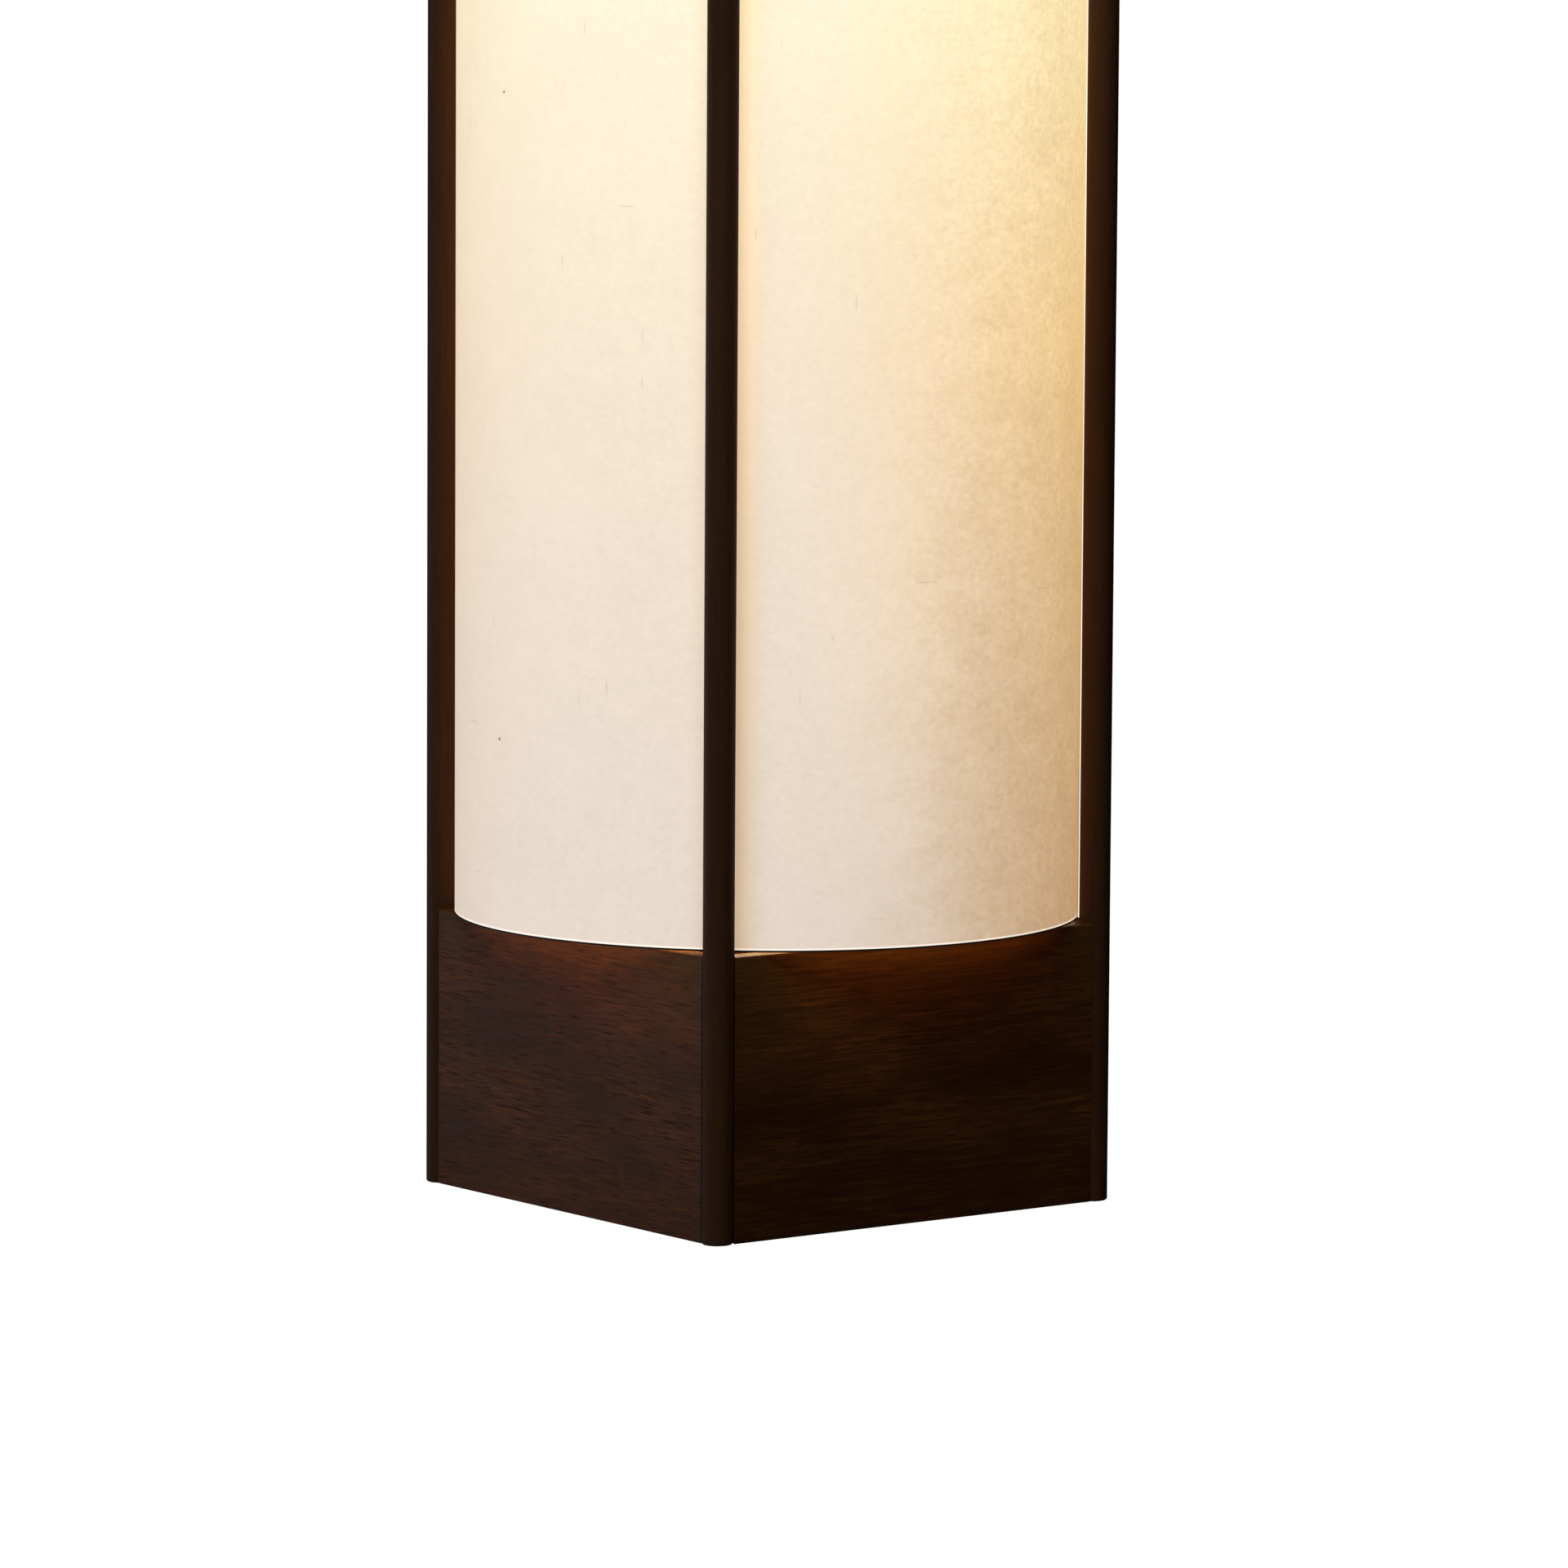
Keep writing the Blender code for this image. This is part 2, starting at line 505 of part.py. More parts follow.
def make_holder_contacts(ceramic, brass, steel, parent):
    """Contact block on the ledge, its two terminal screws, the spring finger and the screw shell."""
    block = object_from("holder_contact_block", rod_shape(HOLDER_INSIDE, 0.0, BLOCK_THICKNESS), PIECES)
    spots = [(-TERMINAL_SPACING / 2, 0.0), (TERMINAL_SPACING / 2, 0.0)]
    floor = BLOCK_THICKNESS - TERMINAL_DEPTH - JOINT_GAP
    for number, spot in enumerate(spots):
        wide = TERMINAL_SHANK / 2 + JOINT_GAP
        hole = rod_shape(wide, floor, BLOCK_THICKNESS + CUT_MARGIN, SCREW_STEPS, spot)
        cut(block, f"terminal hole {number}", hole)
    finish(block, ceramic, parent, BLOCK_BASE)

    head_base = BLOCK_THICKNESS + JOINT_GAP
    head_top = head_base + TERMINAL_HEAD_HEIGHT
    for side, spot in zip(("left", "right"), spots):
        head = rod_shape(TERMINAL_HEAD / 2, head_base, head_top, SCREW_STEPS, spot)
        screw = object_from(f"holder_terminal_screw_{side}", head, PIECES)
        inside_head = head_top - TERMINAL_HEAD_HEIGHT / 2
        shank = rod_shape(TERMINAL_SHANK / 2, floor + JOINT_GAP, inside_head, SCREW_STEPS, spot)
        join(screw, f"terminal shank {side}", shank)
        finish(screw, steel, parent, BLOCK_BASE)

    half_width = CONTACT_WIDTH / 2
    path = [
        (CONTACT_REACH, -CONTACT_THICKNESS / 2),
        (-CONTACT_REACH, -CONTACT_THICKNESS / 2),
        (-CONTACT_REACH, -CONTACT_DROP / 2),
        (-CONTACT_REACH / 2, -CONTACT_DROP + CONTACT_THICKNESS / 2),
        (CONTACT_REACH / 2, -CONTACT_DROP + CONTACT_THICKNESS / 2),
    ]
    strip = bmesh.new()
    points = [strip.verts.new((x, -half_width, z)) for x, z in path]
    for first, second in zip(points, points[1:]):
        strip.edges.new((first, second))
    swept = bmesh.ops.extrude_edge_only(strip, edges=strip.edges[:])["geom"]
    edge = [item for item in swept if isinstance(item, bmesh.types.BMVert)]
    bmesh.ops.translate(strip, verts=edge, vec=(0.0, CONTACT_WIDTH, 0.0))
    contact = object_from("holder_centre_contact", strip, PIECES)
    wall = contact.modifiers.new("strip thickness", "SOLIDIFY")
    wall.thickness = CONTACT_THICKNESS
    wall.offset = 0.0
    wall.use_even_offset = True
    finish(contact, brass, parent, CONTACT_TOP, round_piece=False)

    top = LEDGE_BASE - JOINT_GAP
    lip = SHELL_OUTSIDE - SHELL_LIP
    outline = [(lip, 0.0), (SHELL_OUTSIDE, 0.0), (SHELL_OUTSIDE, -SHELL_LENGTH)]
    outline += [(SHELL_INSIDE, -SHELL_LENGTH), (SHELL_INSIDE, -SHELL_WALL), (lip, -SHELL_WALL)]
    finish(turned("holder_screw_shell", outline, closed=True), brass, parent, top)


def make_shade_ring(plastic, parent):
    """Ring that screws onto the lampholder's skirt and clamps the shade's hub plate to the seat."""
    top = HUB_LEVEL - HUB_THICKNESS / 2 - JOINT_GAP
    waist = HUB_INSIDE + RING_WALL
    outline = [(CLAMP_RADIUS, 0.0), (CLAMP_RADIUS, -CLAMP_THICKNESS), (waist, -CLAMP_THICKNESS)]
    outline += [(waist, -RING_HEIGHT), (HUB_INSIDE, -RING_HEIGHT), (HUB_INSIDE, 0.0)]
    finish(turned("holder_shade_ring", outline, closed=True), plastic, parent, top)


def make_sheet(parchment, parent):
    """One sheet rolled into a tube, with one end lapped over the other at the back."""
    middle = SHEET_RADIUS - SHEET_WALL / 2
    lap = SHEET_LAP / middle
    ramp = SHEET_RAMP / middle
    lift = SHEET_WALL + JOINT_GAP
    first_angle = math.pi / 2 - lap / 2
    span = 2 * math.pi + lap
    shape = bmesh.new()
    points = []
    for i in range(SHEET_STEPS + 1):
        angle = span * i / SHEET_STEPS
        climb = min(max((angle - 2 * math.pi + ramp) / ramp, 0.0), 1.0)
        radius = middle + lift * climb
        around = first_angle + angle
        points.append(shape.verts.new((radius * math.cos(around), radius * math.sin(around), 0.0)))
    for first, second in zip(points, points[1:]):
        shape.edges.new((first, second))
    swept = bmesh.ops.extrude_edge_only(shape, edges=shape.edges[:])["geom"]
    rim = [item for item in swept if isinstance(item, bmesh.types.BMVert)]
    bmesh.ops.translate(shape, verts=rim, vec=(0.0, 0.0, SHEET_TOP - SHEET_BASE))
    sheet = object_from("shade_sheet", shape, PIECES)
    wall = sheet.modifiers.new("sheet thickness", "SOLIDIFY")
    wall.thickness = SHEET_WALL
    wall.offset = 0.0
    finish(sheet, parchment, parent, SHEET_BASE)


def wire_ring(name):
    """A round wire bent to the sheet's inside, about level 0."""
    half = WIRE_DIAMETER / 2
    outline = arc((WIRE_CIRCLE, 0.0), half, 90, 90 - 360 + 360 / WIRE_SIDES, WIRE_SIDES - 1)
    return turned(name, outline, closed=True, steps=WIRE_STEPS)


def make_wires(steel, parent):
    """Wire ring in the sheet's foot, and in its head a spider: a ring, spokes and a hub plate."""
    finish(wire_ring("shade_bottom_ring"), steel, parent, SHEET_BASE + WIRE_INSET)
    spider = wire_ring("shade_spider")
    half = HUB_THICKNESS / 2
    plate = rod_shape(HUB_OUTSIDE, -half, half)
    join(spider, "hub plate", plate)
    for number in range(SPOKE_COUNT):
        turn = Matrix.Rotation(math.tau * number / SPOKE_COUNT, 4, "Z")
        spoke = rod_shape(WIRE_DIAMETER / 2, HUB_OUTSIDE - SPOKE_LAP, WIRE_CIRCLE, WIRE_SIDES)
        bmesh.ops.transform(spoke, matrix=turn @ Matrix.Rotation(math.pi / 2, 4, "Y"), verts=spoke.verts)
        join(spider, f"spoke {number}", spoke)
    cut(spider, "hub hole", rod_shape(HUB_INSIDE, -CUT_MARGIN, CUT_MARGIN))
    finish(spider, steel, parent, HUB_LEVEL)


def make_bulb(opal, white, nickel, black, parent):
    """Screw-in bulb: tip, insulator, screw cap, tapered housing and opal globe."""
    base = parent.matrix_world.translation.z
    stalk = BULB_TIP_STALK / 2
    tip = BULB_TIP_DIAMETER / 2
    stalk_foot = -BULB_TIP_HEIGHT - JOINT_GAP - BULB_INSULATOR_HEIGHT / 2
    outline = [(0.0, 0.0), (tip / 2, 0.0), (tip, -BULB_TIP_HEIGHT / 2), (tip, -BULB_TIP_HEIGHT)]
    outline += [(stalk, -BULB_TIP_HEIGHT), (stalk, stalk_foot), (0.0, stalk_foot)]
    finish(turned("bulb_tip", outline, closed=False), nickel, parent, TIP_TOP - base)

    hole = stalk + JOINT_GAP
    wide = BULB_INSULATOR_DIAMETER / 2
    plug = wide - BULB_CAP_SHOULDER
    plug_foot = -JOINT_GAP - 2 * BULB_CAP_WALL
    outline = [(tip, BULB_INSULATOR_HEIGHT), (wide, 0.0), (plug, 0.0), (plug, plug_foot)]
    outline += [(hole, plug_foot), (hole, BULB_INSULATOR_HEIGHT)]
    finish(turned("bulb_insulator", outline, closed=True), black, parent, INSULATOR_BASE - base)

    outside = BULB_CAP_DIAMETER / 2
    inside = outside - BULB_CAP_WALL
    mouth = plug + JOINT_GAP
    top, shoulder = BULB_CAP_LENGTH, BULB_CAP_LENGTH - BULB_CAP_SHOULDER
    outline = [(mouth, top), (wide, top), (outside, shoulder), (outside, 0.0), (inside, 0.0)]
    outline += [(inside, shoulder - BULB_CAP_WALL), (wide - BULB_CAP_WALL, top - BULB_CAP_WALL)]
    outline += [(mouth, top - BULB_CAP_WALL)]
    finish(turned("bulb_cap", outline, closed=True), nickel, parent, BULB_CAP_BASE - base)

    neck = inside - JOINT_GAP
    neck_top = JOINT_GAP + shoulder - BULB_CAP_WALL
    globe = BULB_DIAMETER / 2
    rim_angle = math.degrees(math.asin(BULB_GLOBE_RISE / globe))
    rim = globe * math.cos(math.radians(rim_angle))
    lip = rim - BULB_GLOBE_WALL - JOINT_GAP * 2

    def ease(share):
        return share * share * (3 - 2 * share)

    outline = [(0.0, neck_top), (neck, neck_top), (neck, 0.0)]
    outline += sweep((outside, 0.0), (rim, -BULB_HOUSING_HEIGHT), ease, GLOBE_STEPS)
    outline += [(lip, -BULB_HOUSING_HEIGHT), (lip, -BULB_HOUSING_HEIGHT - BULB_HOUSING_LIP)]
    outline += [(0.0, -BULB_HOUSING_HEIGHT - BULB_HOUSING_LIP)]
    finish(turned("bulb_housing", outline, closed=False), white, parent, HOUSING_TOP - base)

    inner = globe - BULB_GLOBE_WALL
    inner_angle = math.degrees(math.asin(BULB_GLOBE_RISE / inner))
    outline = arc((0.0, 0.0), inner, -90, inner_angle, GLOBE_STEPS)
    outline += arc((0.0, 0.0), globe, rim_angle, -90, GLOBE_STEPS)
    finish(turned("bulb_globe", outline, closed=False), opal, parent, GLOBE_CENTRE - base)


clear_scene()
PIECES = new_collection("hanging_lantern")
CUTTERS = new_collection("hanging_lantern_cutters", shown=False)

dark_wood = new_material("dark_wood", (0.040, 0.020, 0.011), 0.45)
parchment = new_material("parchment", (0.79, 0.70, 0.58), 0.70)
steel = new_material("steel", (0.55, 0.55, 0.56), 0.35, 1.0)
brass = new_material("brass", (0.70, 0.50, 0.22), 0.35, 1.0)
dark_plastic = new_material("dark_plastic", (0.020, 0.018, 0.017), 0.40)
white_plastic = new_material("white_plastic", (0.80, 0.80, 0.78), 0.35)
ceramic = new_material("ceramic", (0.78, 0.76, 0.70), 0.30)
rubber = new_material("rubber", (0.020, 0.020, 0.020), 0.80)
opal = new_material("opal", (0.90, 0.88, 0.82), 0.25)

lantern = new_empty("lantern_axis", 0.0)
bulb = new_empty("bulb_axis", TIP_TOP, lantern)
bpy.context.view_layer.update()

make_posts(dark_wood, lantern)
make_panels(dark_wood, lantern)
make_top_board(dark_wood, lantern)
make_stem(steel, lantern)
make_gland(brass, rubber, lantern)
make_holder_body(dark_plastic, lantern)
make_holder_cap(dark_plastic, lantern)
make_holder_contacts(ceramic, brass, steel, lantern)
make_shade_ring(dark_plastic, lantern)
make_sheet(parchment, lantern)
make_wires(steel, lantern)
make_bulb(opal, white_plastic, steel, dark_plastic, bulb)
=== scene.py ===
"""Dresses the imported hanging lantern: posts, panels, paper shade, wires, stem, gland, lampholder and bulb.

The lantern hangs from the mouth of its cord gland, which is the origin. +Z points up, and the front is -Y.
"""

import math

import bmesh
import bpy
from bpy.props import FloatProperty, FloatVectorProperty, IntProperty, PointerProperty
from mathutils import Matrix, Vector


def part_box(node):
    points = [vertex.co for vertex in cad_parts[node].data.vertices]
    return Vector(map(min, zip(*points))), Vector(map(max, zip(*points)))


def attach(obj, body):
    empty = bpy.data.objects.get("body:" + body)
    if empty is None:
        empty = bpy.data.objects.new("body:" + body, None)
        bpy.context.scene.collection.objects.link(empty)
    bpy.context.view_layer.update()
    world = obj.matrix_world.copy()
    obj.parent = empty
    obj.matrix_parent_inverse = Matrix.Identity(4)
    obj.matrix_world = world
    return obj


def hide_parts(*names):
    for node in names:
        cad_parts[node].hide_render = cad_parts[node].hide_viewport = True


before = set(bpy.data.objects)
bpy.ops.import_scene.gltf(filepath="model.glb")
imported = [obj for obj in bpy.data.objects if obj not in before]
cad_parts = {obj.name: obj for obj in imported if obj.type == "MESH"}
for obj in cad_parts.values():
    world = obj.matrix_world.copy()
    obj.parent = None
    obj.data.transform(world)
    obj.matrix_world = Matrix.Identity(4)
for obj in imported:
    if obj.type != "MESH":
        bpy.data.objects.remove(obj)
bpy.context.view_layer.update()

bl_info = {
    "name": "Hanging lantern",
    "version": (1, 0, 0),
    "blender": (4, 5, 0),
    "location": "3D View > Sidebar > Lantern",
    "description": "Dresses a square hanging lantern with wooden posts and a rolled paper shade",
    "category": "Object",
}

MM = 0.001

SIDES = ("front", "right", "back", "left")
CORNERS = ("front_left", "front_right", "back_right", "back_left")
LANTERN = "lantern"
BULB = "bulb"

# Sizes that the frame gives
POST_LOW, POST_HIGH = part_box("post_front_left")
POST_CENTRE = (POST_LOW + POST_HIGH) / 2
PANEL_LOW, PANEL_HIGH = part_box("lower_panel_front")
UPPER_LOW, UPPER_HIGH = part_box("upper_panel_front")
BOARD_LOW, BOARD_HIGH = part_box("top_board")
PAPER_LOW, PAPER_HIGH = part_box("shade_sheet")
SPIDER_LOW, SPIDER_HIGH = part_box("shade_spider")
FOOT_RING_LOW, FOOT_RING_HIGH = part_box("shade_bottom_ring")
STEM_LOW, STEM_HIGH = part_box("hanging_stem")
GLAND_BODY_LOW, GLAND_BODY_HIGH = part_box("gland_body")
GLAND_NUT_LOW, GLAND_NUT_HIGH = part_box("gland_nut")
HOLDER_LOW, HOLDER_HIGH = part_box("holder_body")
CAP_LOW, CAP_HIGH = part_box("holder_cap")
RING_LOW, RING_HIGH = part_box("holder_shade_ring")
GLOBE_LOW, GLOBE_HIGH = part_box("bulb_globe")
HOUSING_LOW, HOUSING_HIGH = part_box("bulb_housing")
BULB_CAP_LOW, BULB_CAP_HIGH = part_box("bulb_cap")

PITCH_HALF = abs(POST_CENTRE.x)
PANEL_INSIDE = abs(PANEL_HIGH.y)
GLOBE_RADIUS = GLOBE_HIGH.x
GLOBE_LEVEL = GLOBE_LOW.z + GLOBE_RADIUS

# Fits between the pieces
GAP = 0.3 * MM
CUT_MARGIN = 2 * MM
MERGE = 1e-6

# Steps round a piece
POST_STEPS = 64
PAPER_STEPS = 288
SEAM_STEPS = 16
WIRE_STEPS = 192
WIRE_SIDES = 16
ROUND_STEPS = 96
FLUTED_STEPS = 240
HOLE_STEPS = 48
STEM_STEPS = 36
BULB_CAP_STEPS = 72

# Largest angle, in degrees, between faces that are shaded as one
SMOOTH = 32.0
FLUTED_SMOOTH = 50.0
THREADED_SMOOTH = 60.0

# Sizes that the frame's boxes don't give
TONGUE_HALF = 2.5 * MM
CORNER_RELIEF = 1 * MM
SEAM_RAMP = 10 * MM
HUB_THICKNESS = 1.5 * MM
SPOKE_LAP = 3 * MM
CLAMP_REACH = 3.9 * MM
CORD_RADIUS = 3.6 * MM

# Roll, in radians, that keeps the facets of crossing wires apart
FACET_ROLL = 0.1

# Camera of the photograph: yaw, pitch and roll in degrees, and its place from the axis and the lantern's foot
CAMERA_TURN = (37.119, -6.460, 0.348)
CAMERA_SPOT = (-1.94582, -2.58189, 0.52634)

# Places of the soft lights
SOFT_LIGHTS = {
    "side": (-1.460, 2.259, -1.050),
    "left": (-2.686, -0.135, -0.870),
    "high": (-1.603, -1.036, 1.359),
    "front": (-0.719, -1.769, 1.359),
}

# Brightness of the floor and the surroundings for the camera
WHITE = 1.02

# Level direction from the axis towards the flank that carries the parchment's brown clouds and painted shade,
# and how far up and down the bulb's glow reaches
FLANK_WAY = (0.797, -0.603)
GLOW_REACH = 0.25

# How strong the streaks and fibres of each wood are, how dull it is, and how its planed tops differ
GOLDEN = {"streaked": 0.8, "depth": 0.42, "matt": 0.48, "planed": 0.4, "gloss": 0.045}
RUDDY = {"streaked": 0.9, "depth": 0.56, "matt": 0.48, "planed": 1.3, "gloss": 0.05}
DOWELS = {"streaked": 0.2, "depth": 0.13, "matt": 0.66, "planed": 1.0, "gloss": 0.10}


def length_property(name, description, size):
    return FloatProperty(name=name, description=description, default=size, unit="LENGTH")


def power_property(name, description, power):
    return FloatProperty(name=name, description=description, default=power, unit="POWER")


def colour_property(name, description, colour):
    return FloatVectorProperty(
        name=name, description=description, default=colour, subtype="COLOR", size=3, min=0.0, max=1.0
    )


class LanternSizes(bpy.types.PropertyGroup):
    """Sizes of the dressed lantern."""

    post_diameter: length_property("Post diameter", "Thickness of the round posts", POST_HIGH.x - POST_LOW.x)
    post_round: length_property("Post end round", "Radius of the eased ends of the posts", 1.0 * MM)
    panel_round: length_property("Panel edge round", "Radius of the eased edges of the panels", 0.6 * MM)
    tenon_thickness: length_property("Tenon thickness", "Thickness of the panels' tenons", 4.0 * MM)
    tenon_shoulder: length_property("Tenon shoulder", "Plain panel above and below a tenon", 6.0 * MM)
    paper_thickness: length_property("Paper thickness", "Thickness of the rolled parchment sheet", 0.8 * MM)
    paper_lap: length_property("Paper lap", "Overlap of the glued seam at the back", 14.0 * MM)
    wire_diameter: length_property(
        "Wire diameter", "Thickness of the shade's rings and spokes", FOOT_RING_HIGH.z - FOOT_RING_LOW.z
    )
    stem_thread_pitch: length_property("Stem thread pitch", "Rise of the stem's thread in a turn", 1.0 * MM)
    bulb_thread_pitch: length_property("Bulb thread pitch", "Rise of the bulb's thread in a turn", 3.62 * MM)
    holder_flutes: IntProperty(
        name="Lampholder flutes", description="Grip flutes round the lampholder's cap and ring", default=40
    )
    gland_flutes: IntProperty(
        name="Gland flutes", description="Grip flutes round the cord gland's nut", default=24
    )


class LanternColours(bpy.types.PropertyGroup):
    """Colours of the lantern's finishes."""

    wood: colour_property("Wood", "Middle tone of the oiled side panels", (0.096, 0.0200, 0.0024))
    wood_dark: colour_property("Wood, dark", "Dark bands of the side panels", (0.059, 0.0128, 0.0017))
    wood_red: colour_property("Wood, red", "Reddish streaks of the side panels", (0.25, 0.054, 0.0080))
    front: colour_property("Front wood", "Middle tone of the front and back panels", (0.065, 0.0190, 0.0044))
    front_dark: colour_property("Front wood, dark", "Their dark bands", (0.040, 0.0114, 0.0027))
    front_streak: colour_property("Front wood, golden", "Their golden streaks", (0.24, 0.070, 0.0130))
    # Painted lamplight: the lower panels turn towards this golden tone over their top 40 mm, where the
    # shade's glow falls on them.
    lamp_glow_tint: colour_property("Bleached", "Panels bleached near their top", (0.110, 0.041, 0.0062))
    dowel: colour_property("Dowel", "Middle tone of the posts", (0.056, 0.0185, 0.0055))
    dowel_dark: colour_property("Dowel, dark", "Dark bands of the posts", (0.040, 0.0132, 0.0039))
    pores: colour_property("Pores", "Open pores of the wood", (0.018, 0.0055, 0.0020))
    paper: colour_property("Paper", "Parchment where it is thick", (0.84, 0.835, 0.80))
    paper_dark: colour_property("Paper, clouded", "Parchment in its darker clouds", (0.83, 0.815, 0.765))
    fleck: colour_property("Fleck", "Small fibres and specks in the parchment", (0.32, 0.20, 0.10))
    # Real clouds of the parchment, put only on the flank, where they stand in partly for painted shade.
    clouds_and_flank_shade: colour_property("Clouded", "Parchment in the brown clouds of its flank", (0.79, 0.70, 0.57))
    # Painted shadow of the posts: the parchment's tone in a strip beside each post, also used for the glue
    # line of the seam.
    shadow_and_glue: colour_property("Browned", "Parchment browned beside a post", (0.84, 0.755, 0.580))
    # Painted shade: tint of the glow in the strip of painted post shadow.
    shadow_warmth: colour_property("Warm", "Tint of the lamplight through the browned strip", (1.0, 0.97, 0.87))
    # Tints the glow in the flank's clouds: partly real clouds, partly painted shade.
    tan: colour_property("Tan", "Tint of the lamplight through the brown clouds", (1.0, 0.95, 0.89))
    # Painted highlight: a bright line along the sheet just above its foot, in its colour and in its glow.
    rim_highlight_glow: colour_property("Rim glow", "Lamplight at the sheet's bare rim", (0.82, 0.66, 0.52))
    rim: colour_property("Rim", "Bare line of the parchment above its cut edge", (0.92, 0.91, 0.88))
    # A dark band along the sheet's lowest 0.8 mm, which takes no glow.
    edge: colour_property("Edge", "Dark cut edge at the foot of the parchment", (0.018, 0.009, 0.004))
    glow: colour_property("Glow", "Lamplight on the sheet near the bulb", (0.785, 0.611, 0.321))
    glow_mid: colour_property("Glow, middle", "Lamplight halfway down the sheet", (0.655, 0.445, 0.252))
    glow_far: colour_property("Glow, far", "Lamplight at the sheet's foot", (0.532, 0.369, 0.255))
    # Glow of the flank, set apart from the front's: brighter near the bulb, browner and dimmer at the foot,
    # it stands in partly for painted shade on that side.
    flank: colour_property("Flank", "Lamplight on the flank near the bulb", (0.955, 0.815, 0.440))
    flank_mid: colour_property("Flank, middle", "Lamplight halfway down the flank", (0.770, 0.505, 0.200))
    flank_far: colour_property("Flank, far", "Lamplight at the flank's foot", (0.475, 0.280, 0.121))
    lamp: colour_property("Lamp", "Light of the bulb", (1.0, 0.62, 0.25))
    daylight: colour_property("Daylight", "Cool light of the soft lights", (0.70, 0.88, 1.0))
    zinc: colour_property("Zinc", "Plated steel", (0.56, 0.56, 0.55))
    brass: colour_property("Brass", "Turned brass", (0.68, 0.47, 0.20))
    black_resin: colour_property("Black resin", "Moulded lampholder", (0.020, 0.017, 0.015))
    white_resin: colour_property("White resin", "Moulded bulb housing", (0.80, 0.79, 0.76))
    opal: colour_property("Opal", "Opal globe of the bulb", (0.90, 0.87, 0.80))
    rubber: colour_property("Rubber", "Seal in the cord gland", (0.018, 0.018, 0.018))
    ceramic: colour_property("Ceramic", "Contact block", (0.78, 0.76, 0.70))


class LanternStage(bpy.types.PropertyGroup):
    """Camera and light."""

    lens: FloatProperty(
        name="Lens", description="Focal length on a 36 mm sensor", default=191.6, unit="CAMERA"
    )
    floor_drop: length_property("Floor drop", "From the lantern's foot down to the floor", 1.6)
    light_size: length_property("Light size", "Side of a soft light", 0.9)
    aim_drop: length_property("Aim drop", "From the gland's mouth down to where the lights aim", 0.55)
    side_power: power_property("Side power", "Soft light behind the left side", 11.0)
    left_power: power_property("Left power", "Soft light square to the left side", 7.5)
    high_power: power_property("High power", "High soft light at the left", 25.0)
    front_power: power_property("Front power", "High soft light at the front", 15.0)
    lamp_power: power_property("Lamp power", "Light inside the shade", 5.6)
    ambient: FloatProperty(name="Ambient", description="Dim light from all round", default=0.02)


def clear_selection():
    """Leaves object mode with nothing selected."""
    if bpy.context.mode != "OBJECT":
        bpy.ops.object.mode_set(mode="OBJECT")
    bpy.ops.object.select_all(action="DESELECT")


def take(piece):
    """Makes a piece the only one selected."""
    clear_selection()
    piece.select_set(True)
    bpy.context.view_layer.objects.active = piece


def named(name):
    """Names the primitive that was just added, and keeps its place in its mesh."""
    piece = bpy.context.object
    piece.name = piece.data.name = name
    bpy.ops.object.transform_apply(location=True, rotation=True, scale=True)
    return piece


def block(name, low, high):
    """A box between two corners."""
    clear_selection()
    low, high = Vector(low), Vector(high)
    bpy.ops.mesh.primitive_cube_add(size=1.0, location=(low + high) / 2)
    bpy.ops.transform.resize(value=high - low)
    return named(name)


def rod(name, radius, low, high, sides=HOLE_STEPS, at=(0.0, 0.0)):
    """An upright round or hexagonal rod between two levels."""
    clear_selection()
    middle = (*at, (low + high) / 2)
    bpy.ops.mesh.primitive_cylinder_add(vertices=sides, radius=radius, depth=high - low, location=middle)
    return named(name)


def pick_edges(piece, test):
    """Selects the edges of the edited piece that pass a test."""
    bpy.ops.mesh.select_mode(type="EDGE")
    bpy.ops.mesh.select_all(action="DESELECT")
    shape = bmesh.from_edit_mesh(piece.data)
    for edge in shape.edges:
        if test(edge):
            edge.select_set(True)
    bmesh.update_edit_mesh(piece.data)


def ease(piece, test, width, segments=3):
    """Rounds the edges that pass a test."""
    take(piece)
    bpy.ops.object.mode_set(mode="EDIT")
    pick_edges(piece, test)
    bpy.ops.mesh.bevel(offset=width, offset_type="OFFSET", segments=segments, affect="EDGES")
    bpy.ops.object.mode_set(mode="OBJECT")


def modify(piece, kind, **settings):
    """Adds a modifier and applies it."""
    take(piece)
    step = piece.modifiers.new(kind.lower(), kind)
    for key, value in settings.items():
        setattr(step, key, value)
    bpy.ops.object.modifier_apply(modifier=step.name)


def carve(piece, other, operation="DIFFERENCE", crossing=False):
    """Cuts, joins or trims a piece with another shape, which may cross itself and is used up."""
    modify(piece, "BOOLEAN", operation=operation, solver="EXACT", use_self=crossing, object=other)
    bpy.data.objects.remove(other, do_unlink=True)


def draw(name, points):
    """A line through points, drawn by extruding one point; it is left in edit mode."""
    clear_selection()
    bpy.ops.mesh.primitive_plane_add(size=MM)
    piece = named(name)
    bpy.ops.object.mode_set(mode="EDIT")
    bpy.ops.mesh.select_mode(type="VERT")
    bpy.ops.mesh.select_all(action="SELECT")
    bpy.ops.mesh.merge(type="CENTER")
    bpy.ops.transform.translate(value=points[0])
    for first, second in zip(points, points[1:]):
        step = Vector(second) - Vector(first)
        bpy.ops.mesh.extrude_region_move(TRANSFORM_OT_translate={"value": step})
    return piece


